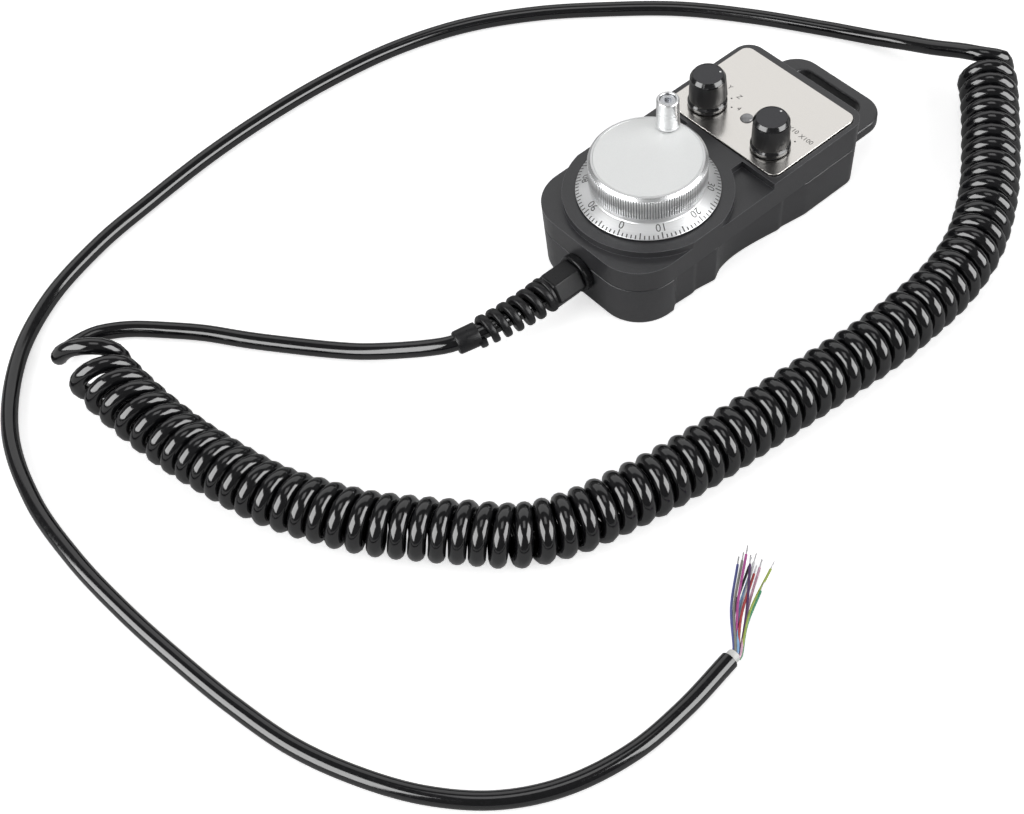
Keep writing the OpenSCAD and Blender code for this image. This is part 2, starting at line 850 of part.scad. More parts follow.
module wheel_profile() {
    neck_r = wheel_neck_d / 2;
    root_r = band_r - knurl_depth - 0.1;
    polygon([
        [0, wheel_z],
        [dial_r, wheel_z],
        [dial_r, dial_cone_z],
        [neck_r, wheel_neck_z],
        [neck_r, band_z],
        [root_r, band_z],
        [root_r, wheel_edge_z],
        [band_r - wheel_chamfer, wheel_top_z],
        [0, wheel_top_z]
    ]);
}

module handwheel() {
    inside_r = wheel_neck_d / 2 - wheel_wall;
    color("#d4d6d9") difference() {
        union() {
            difference() {
                union() {
                    rotate_extrude($fn = 128) wheel_profile();
                    translate([0, 0, band_z])
                        toothed_disc(band_r, knurl_depth, knurl_teeth, band_h);
                    translate([0, 0, wheel_edge_z])
                        cylinder(
                            r1 = band_r - knurl_depth / 2, r2 = band_r - wheel_chamfer,
                            h = wheel_chamfer, $fn = 128
                        );
                }
                translate([0, 0, wheel_z - cut])
                    cylinder(r = inside_r, h = web_under_z - wheel_z + cut, $fn = 96);
            }
            translate([0, 0, wheel_z]) cylinder(r = hub_d / 2, h = web_under_z - wheel_z + eps);
            at(crank_at, web_under_z - crank_boss_h) cylinder(r = crank_boss_r, h = crank_boss_h + eps);
        }
        translate([0, 0, cap_z]) cylinder(r = cap_d / 2 + seat_fit, h = cap_t + cut, $fn = 96);
        translate([0, 0, wheel_z - cut])
            cylinder(r = shaft_d / 2 + seat_fit, h = shaft_top_z - wheel_z + cut);
        cylinder(r = wheel_screw_r + through_fit, h = wheel_top_z);
        translate([0, 0, wheel_screw_z]) cylinder(r = wheel_screw_head_r + through_fit, h = cap_t + web_t);
        at(crank_at, web_under_z - crank_boss_h - cut)
            cylinder(r = crank_thread_r + seat_fit, h = crank_boss_h + web_t + 2 * cut);
    }
}

module wheel_cap() {
    color("#dcdee0") difference() {
        translate([0, 0, cap_z]) cylinder(r = cap_d / 2, h = cap_t, $fn = 96);
        at(crank_at, cap_z - cut) cylinder(r = crank_screw_d / 2 + seat_fit, h = cap_t + 2 * cut);
    }
}

module wheel_screw() {
    color("#8f9297") difference() {
        union() {
            translate([0, 0, wheel_screw_z]) cylinder(r = wheel_screw_head_r, h = wheel_screw_head_h);
            translate([0, 0, shaft_top_z - 8]) cylinder(r = wheel_screw_r - seat_fit, h = 8 + cut);
        }
        translate([0, 0, wheel_screw_z + 0.6]) cylinder(r = 1.6, h = cut + 1, $fn = 6);
    }
}

module encoder_shaft() {
    bottom_z = board_z - 0.6;
    color("#b4b7bb") difference() {
        translate([0, 0, bottom_z]) cylinder(r = shaft_d / 2, h = shaft_top_z - bottom_z);
        translate([0, 0, shaft_top_z - 9]) cylinder(r = wheel_screw_r, h = 9 + cut);
    }
}

module code_disc() {
    color("#6f7a80") difference() {
        union() {
            translate([0, 0, code_disc_z]) cylinder(r = code_disc_d / 2, h = code_disc_t);
            translate([0, 0, code_disc_z - 1]) cylinder(r = code_hub_r, h = detent_z - code_disc_z + 1);
        }
        translate([0, 0, code_disc_z - 2]) cylinder(r = shaft_d / 2 + seat_fit, h = code_hub_h + 8);
    }
}

module detent_wheel() {
    color("#8c8f94") translate([0, 0, detent_z]) difference() {
        toothed_disc(detent_d / 2, detent_depth, detent_teeth, detent_t);
        translate([0, 0, -cut]) cylinder(r = shaft_d / 2 + seat_fit, h = detent_t + 2 * cut);
    }
}

// ---- crank ----

module crank_screw() {
    color("#a2a5a9") at(crank_at) difference() {
        union() {
            translate([0, 0, web_under_z - crank_boss_h + 0.5])
                cylinder(r = crank_thread_r, h = cap_z - web_under_z + crank_boss_h);
            translate([0, 0, cap_z]) cylinder(r = crank_screw_d / 2, h = sleeve_floor_z + pass_gap - cap_z);
            translate([0, 0, sleeve_floor_z + pass_gap * 0.5])
                cylinder(r = crank_head_r, h = crank_head_h);
        }
        translate([0, 0, sleeve_floor_z + pass_gap * 0.5 + 1])
            cylinder(r = 1.75, h = crank_head_h, $fn = 6);
    }
}

module crank_washer() {
    color("#c4c6c9") at(crank_at, wheel_top_z)
        ring(crank_washer_r, crank_screw_d / 2 + seat_fit, crank_washer_t);
}

module crank_sleeve() {
    edge = 0.5;
    foot_r = sleeve_d / 2;
    top_r = sleeve_top_d / 2;
    color("#d4d6d9") at(crank_at, sleeve_z) difference() {
        rotate_extrude($fn = 96)
            polygon([
                [0, 0],
                [foot_r - edge, 0],
                [foot_r, edge],
                [top_r, sleeve_len - edge],
                [top_r - edge, sleeve_len],
                [0, sleeve_len]
            ]);
        translate([0, 0, -cut])
            cylinder(r = crank_screw_d / 2 + running_fit, h = sleeve_len + 2 * cut);
        translate([0, 0, sleeve_len - sleeve_recess_h])
            cylinder(r = sleeve_recess_d / 2, h = sleeve_recess_h + cut);
    }
}

// ---- selector switches and knobs ----

module switch_unit() {
    difference() {
        union() {
            translate([0, 0, switch_bottom_z]) cylinder(r = switch_d / 2, h = switch_h);
            translate([0, 0, panel_under_z - eps])
                cylinder(r = bush_d / 2, h = bush_top_z - panel_under_z);
            for (i = [0 : switch_pins - 1])
                rotate(360 * i / switch_pins)
                    translate([switch_d / 2 - 2.2, 0, switch_bottom_z - 4])
                        cylinder(r = 0.6, h = 4 + eps, $fn = 16);
        }
        translate([0, 0, switch_bottom_z + 4])
            cylinder(r = switch_shaft_r + running_fit, h = bush_top_z - switch_bottom_z);
    }
}

module switch_nut() {
    difference() {
        translate([0, 0, plate_top_z]) cylinder(r = switch_nut_r, h = switch_nut_h, $fn = 6);
        translate([0, 0, plate_top_z - cut]) cylinder(r = bush_d / 2 + seat_fit, h = switch_nut_h + 2 * cut);
    }
}

module switch_shaft() {
    translate([0, 0, switch_bottom_z + 4 + pass_gap])
        cylinder(
            r = switch_shaft_r,
            h = knob_z + knob_hollow_h + knob_shaft_h - switch_bottom_z - 4 - pass_gap
        );
}

module knob() {
    foot_r = knob_foot_d / 2;
    low_r = knob_d / 2;
    top_r = knob_top_d / 2;
    rib_top = knob_h - 3;
    translate([0, 0, knob_z]) difference() {
        union() {
            rotate_extrude($fn = 96)
                polygon([
                    [0, 0],
                    [foot_r, 0],
                    [foot_r, knob_foot_h * 0.7],
                    [low_r, knob_foot_h],
                    [top_r, knob_h - 2 * knob_bevel],
                    [top_r - knob_bevel, knob_h - knob_bevel * 0.4],
                    [top_r - 1.5 * knob_bevel, knob_h],
                    [0, knob_h]
                ]);
            intersection() {
                translate([-pointer_w / 2, 0, 0]) cube([pointer_w, knob_foot_d, rib_top]);
                rotate_extrude($fn = 96)
                    polygon([
                        [0, 0],
                        [foot_r, 0],
                        [foot_r, knob_foot_h * 0.7],
                        [low_r + pointer_proud, knob_foot_h],
                        [top_r + pointer_proud, rib_top],
                        [0, rib_top]
                    ]);
            }
        }
        translate([0, 0, -cut]) cylinder(r = knob_hollow_r, h = knob_hollow_h + cut);
        cylinder(r = switch_shaft_r + seat_fit, h = knob_hollow_h + knob_shaft_h + pass_gap);
        translate([0, 0, knob_h - knob_cap_h])
            cylinder(r = knob_cap_d / 2 + seat_fit, h = knob_cap_h + cut);
    }
}

module knob_cap() {
    translate([0, 0, knob_z + knob_h - knob_cap_h]) cylinder(r = knob_cap_d / 2, h = knob_cap_h);
}

module axis_switch() {
    color("#2f4f7a") at(axis_at) switch_unit();
}

module axis_switch_nut() {
    color("#a9acb0") at(axis_at) switch_nut();
}

module axis_switch_shaft() {
    color("#a9acb0") at(axis_at) switch_shaft();
}

module axis_knob() {
    color("#161617") at(axis_at) rotate(axis_rest) knob();
}

module axis_knob_cap() {
    color("#202123") at(axis_at) rotate(axis_rest) knob_cap();
}

module multiplier_switch() {
    color("#2f4f7a") at(multiplier_at) switch_unit();
}

module multiplier_switch_nut() {
    color("#a9acb0") at(multiplier_at) switch_nut();
}

module multiplier_switch_shaft() {
    color("#a9acb0") at(multiplier_at) switch_shaft();
}

module multiplier_knob() {
    color("#161617") at(multiplier_at) rotate(multiplier_rest) knob();
}

module multiplier_knob_cap() {
    color("#202123") at(multiplier_at) rotate(multiplier_rest) knob_cap();
}

// ---- gland and bend relief ----

module gland_body() {
    color("#161618") difference() {
        union() {
            along_cable(
                gland_inner_y + locknut_t + 0.6, gland_thread_r,
                gland_inner_y + locknut_t + 0.6 - gland_y
            );
            along_cable(gland_y, gland_flange_d / 2, gland_flange_t);
            along_cable(gland_nut_y + eps, gland_sleeve_r, gland_sleeve_len);
        }
        along_cable(0, cable_pass_r, case_near + case_w);
    }
}

module gland_locknut() {
    color("#161618") difference() {
        hex_along_cable(gland_inner_y + locknut_t, locknut_r, locknut_t);
        along_cable(0, gland_thread_r + seat_fit, case_near + case_w);
    }
}

module gland_seal() {
    seal_y = gland_nut_y - gland_sleeve_len;
    color("#0c0c0d") difference() {
        along_cable(seal_y, gland_sleeve_r, gland_seal_len);
        along_cable(0, cable_r, case_near + case_w);
    }
}

module gland_nut() {
    color("#19191b") difference() {
        hex_along_cable(gland_nut_y, gland_nut_d / 2, gland_nut_len);
        along_cable(gland_nut_y + cut, gland_sleeve_r + seat_fit, gland_sleeve_len + gland_seal_len + cut);
        along_cable(0, cable_pass_r, case_near + case_w);
    }
}

module relief_spiral() {
    steps = relief_turns * relief_steps;
    function spiral_point(i) =
        let (
            s = i / steps,
            along = unit(relief_axis(s + 0.01) - relief_axis(s)),
            across = unit(cross([0, 0, 1], along)),
            upward = cross(along, across),
            a = 360 * relief_turns * s,
            wound = wound_share(s)
        )
        relief_axis(wound) + relief_radius(s) * (cos(a) * across + sin(a) * upward);
    function wire_ring(i) =
        let (
            s = i / steps,
            middle = relief_axis(wound_share(s)),
            here = spiral_point(i),
            outward = unit(here - middle),
            along = unit(spiral_point(i + 0.5) - spiral_point(i - 0.5)),
            across = unit(cross(along, outward)),
            level = cross(across, along)
        )
        [for (j = [0 : 7]) here + relief_wire / 2 * (cos(45 * j) * level + sin(45 * j) * across)];
    skin([for (i = [0 : steps]) wire_ring(i)]);
}

module strain_relief() {
    collar_from = relief_axis(0.96);
    collar_to = relief_axis(1) + unit(relief_axis(1) - relief_axis(0.96)) * collar_len;
    color("#1b1b1d") {
        difference() {
            union() {
                along_cable(gland_front_y, relief_d / 2, relief_base);
                tube([collar_from, collar_to], collar_d / 2, 24);
            }
            along_cable(gland_front_y + cut, cable_pass_r + through_fit, relief_base + 2 * cut);
            tube(
                [
                    collar_from - unit(collar_to - collar_from),
                    collar_to + unit(collar_to - collar_from)
                ],
                cable_r + 0.15, 24
            );
        }
        relief_spiral();
    }
}

// ---- cable ----

module cable_lead() {
    color("#0d0d0f") tube(lead_route, cable_r, 8);
}

module cable_coil() {
    color("#0d0d0f") tube(at_height(coil_route, coil_d / 2), coil_d / 2, 12);
}

module cable_tail() {
    color("#0d0d0f") tube(concat(tail_start, at_height(tail_route, cable_r)), cable_r, 8);
}

tail_end = at_height(tail_route, cable_r)[len(tail_route) - 1];
tail_way = heading(at_height(tail_route, cable_r), len(tail_route) - 1);
core_end = tail_end + core_len * tail_way;
tail_turn = atan2(tail_way[1], tail_way[0]);

module cable_core() {
    color("#e6e6e2") tube([tail_end, core_end], core_d / 2, 12);
}

module cable_wires() {
    colours = ["#2b49a8", "#f2f2f2", "#8f9296", "#e58fb0", "#7a4a2a", "#5fb7e8", "#c8252b", "#6c3f9a",
        "#1a1a1a", "#6fb23a", "#2c9c57", "#e8cf3a"];
    for (i = [0 : wire_count - 1]) {
        share = i / (wire_count - 1) - 0.5;
        side = [-tail_way[1], tail_way[0], 0];
        turn = tail_turn + wire_turn - wire_spread * share;
        run = [cos(turn), sin(turn), 0];
        foot = core_end + side * (-share * (core_d - wire_d)) + [0, 0, ((i % 3) - 1) * wire_d * 0.9];
        tip_z = wire_d / 2 + wire_lift * (i % 3) / 2;
        mid = foot + run * wire_len * 0.45;
        tip = foot + run * wire_len * (0.9 + 0.05 * (i % 3));
        color(colours[i])
            tube(
                [
                    foot,
                    foot + wire_root * tail_way,
                    [mid[0], mid[1], (foot[2] + tip_z) / 2 + 1],
                    [tip[0], tip[1], tip_z]
                ],
                wire_d / 2, 8
            );
    }
}

rear_case();
top_cover();
case_seal();
case_screws();
panel_plate();
led_lens();
led_holder();
encoder_housing();
encoder_lid();
encoder_bearings();
encoder_board();
optical_sensor();
encoder_terminals();
encoder_screws();
detent_plunger();
handwheel();
wheel_cap();
wheel_screw();
encoder_shaft();
code_disc();
detent_wheel();
crank_screw();
crank_washer();
crank_sleeve();
axis_switch();
axis_switch_nut();
axis_switch_shaft();
axis_knob();
axis_knob_cap();
multiplier_switch();
multiplier_switch_nut();
multiplier_switch_shaft();
multiplier_knob();
multiplier_knob_cap();
gland_body();
gland_locknut();
gland_seal();
gland_nut();
strain_relief();
cable_lead();
cable_coil();
cable_tail();
cable_core();
cable_wires();
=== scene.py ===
import math

import bmesh
import bpy
from bpy.props import FloatProperty, FloatVectorProperty, IntProperty, PointerProperty
from mathutils import Matrix, Vector


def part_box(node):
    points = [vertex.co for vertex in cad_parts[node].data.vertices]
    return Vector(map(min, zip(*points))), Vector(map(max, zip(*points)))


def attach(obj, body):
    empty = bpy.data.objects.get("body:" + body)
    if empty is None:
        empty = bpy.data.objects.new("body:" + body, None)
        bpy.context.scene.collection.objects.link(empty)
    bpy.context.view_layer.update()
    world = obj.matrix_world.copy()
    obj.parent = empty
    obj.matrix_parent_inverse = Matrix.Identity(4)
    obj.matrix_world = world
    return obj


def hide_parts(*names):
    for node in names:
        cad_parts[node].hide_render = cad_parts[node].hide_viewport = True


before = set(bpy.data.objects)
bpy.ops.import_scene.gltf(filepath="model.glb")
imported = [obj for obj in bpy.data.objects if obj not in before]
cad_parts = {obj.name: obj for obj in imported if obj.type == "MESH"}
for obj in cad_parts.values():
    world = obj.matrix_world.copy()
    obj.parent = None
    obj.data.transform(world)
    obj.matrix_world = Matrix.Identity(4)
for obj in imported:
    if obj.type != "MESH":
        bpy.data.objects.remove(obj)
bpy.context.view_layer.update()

bl_info = {
    "name": "Pulse Generator Handwheel",
    "version": (1, 0, 0),
    "blender": (4, 5, 0),
    "location": "3D Viewport > Sidebar > Handwheel",
    "description": "Builds the looks of a pulse generator handwheel pendant round its packed solids",
    "category": "Add Mesh",
}

MM = 0.001
UP = Vector((0, 0, 1))

# The view: where the camera stands, which way it looks, its lens and sensor in millimetres,
# and the nearest and farthest that it sees
VIEW_PLACE = (0.39315, -0.36608, 0.58374)
VIEW_YAW = math.radians(54.04)
VIEW_PITCH = math.radians(52.05)
VIEW_ROLL = math.radians(-6.3)
VIEW_LENS, VIEW_SENSOR = 65.05, 36
VIEW_NEAR, VIEW_FAR = 0.01, 20

# Cable route, in metres: the lead from the gland to the coil, the coil's axis, and the tail
LEAD_ROUTE = [
    (0, -0.031, 0.0152), (0, -0.040, 0.0152), (0, -0.0575, 0.0152), (-0.0003, -0.066, 0.0151),
    (-0.0013, -0.075, 0.0148), (-0.0028, -0.083, 0.0144), (-0.005, -0.0915, 0.0137),
    (-0.0085, -0.101, 0.0128), (-0.014, -0.107, 0.0108), (-0.021, -0.113, 0.0084),
    (-0.029, -0.1195, 0.006), (-0.038, -0.127, 0.0042), (-0.048, -0.135, 0.0035),
    (-0.062, -0.146, 0.0035), (-0.076, -0.1565, 0.0035), (-0.092, -0.1675, 0.0035),
    (-0.1055, -0.179, 0.0035), (-0.1145, -0.1875, 0.0035), (-0.120, -0.1945, 0.0035),
    (-0.1235, -0.201, 0.0035), (-0.1245, -0.2075, 0.0038), (-0.123, -0.2145, 0.0055),
    (-0.1195, -0.2195, 0.009),
]
COIL_AXIS = [
    (-0.107, -0.212), (-0.092, -0.214), (-0.068, -0.213), (-0.044, -0.210), (-0.021, -0.205),
    (0, -0.199), (0.019, -0.190), (0.036, -0.180), (0.051, -0.168), (0.066, -0.155),
    (0.080, -0.142), (0.089, -0.125), (0.094, -0.107), (0.098, -0.088), (0.101, -0.067),
    (0.103, -0.046), (0.105, -0.025), (0.107, -0.003), (0.109, 0.019), (0.109, 0.042),
    (0.107, 0.066), (0.100, 0.090), (0.085, 0.116), (0.064, 0.142), (0.044, 0.164), (0.035, 0.171),
]
TAIL_START = [
    (0.033, 0.170, 0.0212), (0.024, 0.1685, 0.0185), (0.011, 0.1665, 0.0135),
    (-0.003, 0.165, 0.0085), (-0.0165, 0.1615, 0.005), (-0.029, 0.1565, 0.0036),
]
TAIL_ROUTE = [
    (-0.041, 0.150), (-0.070, 0.133),
    (-0.098, 0.113), (-0.122, 0.089), (-0.144, 0.063), (-0.162, 0.033), (-0.173, 0),
    (-0.178, -0.035), (-0.179, -0.070), (-0.177, -0.105), (-0.172, -0.140), (-0.166, -0.172),
    (-0.154, -0.205), (-0.134, -0.233), (-0.104, -0.255), (-0.069, -0.266), (-0.034, -0.269),
    (-0.001, -0.268), (0.030, -0.265), (0.059, -0.261), (0.087, -0.255), (0.112, -0.245),
    (0.134, -0.232), (0.152, -0.215), (0.164, -0.194), (0.170, -0.169), (0.170, -0.144),
    (0.167, -0.119),
]

# How far along its axis the coil has come after so many turns: its first turns are stretched
COIL_STRETCH = [
    (0.2, -3.5), (0.5, 5.6), (1.4, 16.3), (2.4, 25.5), (4.4, 43.5), (6.4, 61), (8.4, 75.5),
    (16.4, 133), (35.4, 278), (53.4, 414.5), (69.4, 539.5), (70.5, 548.5),
]


# ---- sizes and colours that a user would change ----


def length(name, description, default, low, high):
    return FloatProperty(
        name=name, description=description, default=default, min=low, max=high,
        unit="LENGTH", subtype="DISTANCE", precision=4,
    )


def colour(name, description, default):
    return FloatVectorProperty(
        name=name, description=description, default=default, size=3, min=0.0, max=1.0,
        subtype="COLOR",
    )


def whole_number(name, description, default, low, high):
    return IntProperty(name=name, description=description, default=default, min=low, max=high)


def glow(name, description, default):
    return FloatProperty(name=name, description=description, default=default, min=0.0)


class PendantCase(bpy.types.PropertyGroup):
    half_width: length("Half width", "Middle line to a flush side at the back face", 0.0334, 0.03, 0.04)
    near_end: length("Near end", "Wheel axis to the end with the gland", 0.0378, 0.036, 0.05)
    far_end: length("Far end", "Wheel axis to the end with the hanger loop", 0.0925, 0.088, 0.12)
    near_radius: length("Near corners", "Radius of the corners at the wheel end", 0.018, 0.012, 0.022)
    far_radius: length("Far corners", "Radius of the corners at the loop end", 0.0065, 0.004, 0.009)
    lean: FloatProperty(
        name="Lean", description="How far the sides lean out for their height", default=0.04,
        min=0.0, max=0.06,
    )
    grip_step: length("Grip step", "Depth of the sawtooth steps in the sides", 0.0019, 0.0005, 0.0025)
    grip_bay: length("Finger bay", "Depth of the finger bay in each side", 0.0042, 0.0026, 0.0055)
    pad_radius: length("Ring pad", "Radius of the raised pad below the dial", 0.0356, 0.034, 0.038)
    neck_width: length("Neck", "Width of the raised neck", 0.032, 0.016, 0.044)
    panel_start: length("Panel frame", "Wheel axis to the near edge of the frame", 0.0384, 0.037, 0.044)
    plastic: colour("Plastic", "Colour of the moulded shells", (0.040, 0.040, 0.043))


class PendantWheel(bpy.types.PropertyGroup):
    teeth: whole_number("Knurl teeth", "Teeth round the band", 140, 60, 160)
    divisions: whole_number("Divisions", "Marks round the dial", 100, 50, 100)
    zero_angle: FloatProperty(
        name="Zero", description="Where the zero of the scale points at rest",
        default=math.radians(-67.8), subtype="ANGLE",
    )
    metal: colour("Metal", "Colour of the turned aluminium", (0.74, 0.745, 0.75))
    ink: colour("Scale ink", "Colour of the engraved marks", (0.08, 0.08, 0.08))


class PendantKnobs(bpy.types.PropertyGroup):
    taper: length("Taper", "How much narrower the grip is at its top", 0.0006, 0.0, 0.001)
    rib_width: length("Rib width", "Width of the pointer rib", 0.0042, 0.002, 0.006)
    rib_proud: length("Rib height", "How far the pointer rib stands out", 0.00045, 0.0, 0.001)
    plastic: colour("Plastic", "Colour of the knobs", (0.008, 0.008, 0.009))
    dot: colour("Pointer dot", "Colour of the pointer dots", (0.90, 0.90, 0.90))


class PendantCable(bpy.types.PropertyGroup):
    diameter: length("Diameter", "Diameter of the cable's jacket", 0.007, 0.006, 0.008)
    coil_diameter: length("Coil", "Outer diameter of the coiled stretch", 0.025, 0.022, 0.026)
    jacket: colour("Jacket", "Colour of the jacket", (0.005, 0.005, 0.006))


class PendantStage(bpy.types.PropertyGroup):
    side_glow: glow("Side boxes", "Brightness of the side boxes", 2.6)
    side_shine: glow("Side shine", "What the side boxes add in glossy faces only", 3.9)
    back_glow: glow("Back panel", "Brightness of the panel behind", 0.82)
    top_glow: glow("Overhead", "Brightness of the box overhead", 1.5)
    world_light: glow("World", "Light from all round", 0.15)
    floor_colour: colour("Floor", "Colour of the floor", (0.92, 0.92, 0.92))


# ---- lines and outlines ----

# Points between two given ones before a smooth line is spaced evenly
CURVE_STEPS = 24


def smooth_line(points, step):
    """Points every step along a smooth curve through the given ones."""
    points = [Vector(p) for p in points]
    ends = [2 * points[0] - points[1]] + points + [2 * points[-1] - points[-2]]
    dense = []
    for a, b, c, d in zip(ends, ends[1:], ends[2:], ends[3:]):
        for i in range(CURVE_STEPS):
            t = i / CURVE_STEPS
            dense.append(
                0.5 * (2 * b + (c - a) * t + (2 * a - 5 * b + 4 * c - d) * t * t
                       + (3 * b - a - 3 * c + d) * t ** 3)
            )
    return spaced(dense + [points[-1]], step)


def length_of(line):
    """How long a line of points is."""
    return sum((b - a).length for a, b in zip(line, line[1:]))


def spaced(line, step):
    """The line again, with its points about step apart."""
    total = length_of(line)
    count = max(1, round(total / step))
    wanted, out, gone = total / count, [line[0]], 0.0
    for a, b in zip(line, line[1:]):
        stretch = (b - a).length
        while stretch > 0 and len(out) * wanted <= gone + stretch and len(out) < count:
            out.append(a.lerp(b, (len(out) * wanted - gone) / stretch))
        gone += stretch
    return out + [line[-1]]


def polar(centre, radius, angle):
    """The point in the plane at a distance and an angle from a centre."""
    return centre[0] + radius * math.cos(angle), centre[1] + radius * math.sin(angle)


def arc(centre, radius, start, stop, steps):
    """Points on an arc from start to stop degrees, in the plane."""
    turns = [math.radians(start + (stop - start) * i / steps) for i in range(steps + 1)]
    return [polar(centre, radius, turn) for turn in turns]


# The most of each side that a rounded corner takes up, and the smallest turn, in radians, that
# is rounded
CORNER_SHARE, SMALLEST_TURN = 0.45, 0.02


def soften(points, radius, steps=3):
    """Rounds each corner of an open line of points in the plane, but not its ends."""
    points = [Vector(p) for p in points]
    out = [tuple(points[0])]
    for before, p, after in zip(points, points[1:], points[2:]):
        a, b = before - p, after - p
        if a.angle(-b, 0.0) < SMALLEST_TURN:
            out.append(tuple(p))
            continue
        cut = min(radius, CORNER_SHARE * a.length, CORNER_SHARE * b.length)
        start, stop = p + a.normalized() * cut, p + b.normalized() * cut
        for k in range(steps + 1):
            t = k / steps
            out.append(tuple((1 - t) ** 2 * start + 2 * t * (1 - t) * p + t * t * stop))
    return out + [tuple(points[-1])]


def rounded_box(half_width, low_y, high_y, near, far, side=()):
    """A box, even about the middle line, whose near and far corners are given as (radius, steps).

    Its sides may go in, by depths given as (place, depth) from the near end to the far end."""
    (near_radius, near_steps), (far_radius, far_steps) = near, far
    near_x, near_y = half_width - near_radius, low_y + near_radius
    far_x, far_y = half_width - far_radius, high_y - far_radius
    right = [(half_width - depth, y) for y, depth in side]
    left = [(-x, y) for x, y in reversed(right)]
    return (
        arc((near_x, near_y), near_radius, -90, 0, near_steps) + right
        + arc((far_x, far_y), far_radius, 0, 90, far_steps)
        + arc((-far_x, far_y), far_radius, 90, 180, far_steps) + left
        + arc((-near_x, near_y), near_radius, 180, 270, near_steps)
    )


# ---- meshes ----


def shade(mesh, sharp_above):
    """Smooth faces, sharp only where two faces meet at more than the angle."""
    work = bmesh.new()
    work.from_mesh(mesh)
    bmesh.ops.remove_doubles(work, verts=work.verts, dist=1e-7)
    bmesh.ops.recalc_face_normals(work, faces=work.faces)
    for face in work.faces:
        face.smooth = True
    for edge in work.edges:
        edge.smooth = len(edge.link_faces) == 2 and edge.calc_face_angle(0) < math.radians(sharp_above)
    work.to_mesh(mesh)
    work.free()


def middle_of(node):
    """The middle of a CAD node, seen from above."""
    low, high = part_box(node)
    return (low[0] + high[0]) / 2, (low[1] + high[1]) / 2


def profile_at(level, marks):
    """A profile typed as (radius, height above a level) in millimetres."""
    return [(radius * MM, level + height * MM) for radius, height in marks]


# Faces that meet at more than this angle, in degrees, have a sharp edge between them
SHARP_ABOVE = 38


def new_mesh(name, verts, faces, sharp_above=SHARP_ABOVE):
    """A mesh with smooth faces and sharp edges."""
    mesh = bpy.data.meshes.new(name)
    mesh.from_pydata([tuple(v) for v in verts], [], faces)
    shade(mesh, sharp_above)
    return mesh


def new_object(name, data):
    """An object in the scene that shows the data."""
    made = bpy.data.objects.new(name, data)
    bpy.context.scene.collection.objects.link(made)
    return made


def piece(name, verts, faces, skin, body="case", sharp_above=SHARP_ABOVE):
    """A mesh piece that rides on a body, with its finish."""
    made = new_object(name, new_mesh(name, verts, faces, sharp_above))
    made.data.materials.append(skin)
    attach(made, body)
    return made


def add_shape(verts, faces, points, cells):
    """Adds points, and the faces between them, to the lists of a growing mesh."""
    start = len(verts)
    verts += points
    faces += [tuple(start + i for i in cell) for cell in cells]


def loft(rings):
    """Faces between rings with equal numbers of points; the ends become flat faces."""
    n = len(rings[0])
    verts = [p for ring in rings for p in ring]
    faces = []
    for i in range(len(rings) - 1):
        for j in range(n):
            k = (j + 1) % n
            faces.append((i * n + j, i * n + k, (i + 1) * n + k, (i + 1) * n + j))
    faces.append(tuple(range(n - 1, -1, -1)))
    faces.append(tuple(range((len(rings) - 1) * n, len(rings) * n)))
    return verts, faces


def lathe(profile, steps, centre=(0, 0)):
    """Turns a line of (radius, height) about an upright axis."""
    verts, rows, faces = [], [], []
    for r, z in profile:
        if r == 0:
            rows.append([len(verts)])
            verts.append((centre[0], centre[1], z))
            continue
        rows.append(list(range(len(verts), len(verts) + steps)))
        for i in range(steps):
            verts.append((*polar(centre, r, 2 * math.pi * i / steps), z))
    for low, high in zip(rows, rows[1:]):
        for i in range(steps):
            j = (i + 1) % steps
            corners = [low[i % len(low)], low[j % len(low)], high[j % len(high)], high[i % len(high)]]
            face = tuple(dict.fromkeys(corners))
            if len(face) > 2:
                faces.append(face)
    return verts, faces


def drill(radius, low, high, centre, steps):
    """A closed cylinder to cut with."""
    return lathe([(0, low), (radius, low), (radius, high), (0, high)], steps, centre)


def prism(outline, low, high):
    """An outline raised from one height to another."""
    return loft([[(x, y, low) for x, y in outline], [(x, y, high) for x, y in outline]])


def places_along(start, way, marks):
    """Points on a straight way, at places given in millimetres."""
    return [start + way * mark * MM for mark in marks]


def sweep(line, radii, sides):
    """A tube along a line, with a radius for each point."""
    rings = []
    across = None
    for i, p in enumerate(line):
        ahead = (line[min(i + 1, len(line) - 1)] - line[max(i - 1, 0)]).normalized()
        if across is None:
            across = UP.cross(ahead).normalized()
        across = (across - ahead * across.dot(ahead)).normalized()
        upward = ahead.cross(across)
        rings.append([
            p + radii[i] * (math.cos(a) * across + math.sin(a) * upward)
            for a in (2 * math.pi * j / sides for j in range(sides))
        ])
    return loft(rings)


def soft_edges(made, width, segments, angle=35):
    """Rounds the sharp edges of a piece, and keeps its flat faces flat."""
    bevel = made.modifiers.new("edges", "BEVEL")
    bevel.width, bevel.segments = width, segments
    bevel.limit_method, bevel.angle_limit = "ANGLE", math.radians(angle)
    bevel.use_clamp_overlap = True
    normals = made.modifiers.new("normals", "WEIGHTED_NORMAL")
    normals.keep_sharp = False
    for polygon in made.data.polygons:
        polygon.use_smooth = True
    for edge in made.data.edges:
        edge.use_edge_sharp = False


def carve(made, cutters):
    """Cuts closed meshes, given as (verts, faces), out of a piece."""
    scratch = []
    for verts, faces in cutters:
        cutter = new_object("cutter", new_mesh("cutter", verts, faces))
        cut = made.modifiers.new("cut", "BOOLEAN")
        cut.object, cut.operation, cut.solver = cutter, "DIFFERENCE", "EXACT"
        scratch.append(cutter)
    bpy.context.view_layer.update()
    seen = made.evaluated_get(bpy.context.evaluated_depsgraph_get())
    carved = bpy.data.meshes.new_from_object(seen)
    made.modifiers.clear()
    made.data = carved
    for cutter in scratch:
        bpy.data.objects.remove(cutter)
    shade(carved, SHARP_ABOVE)


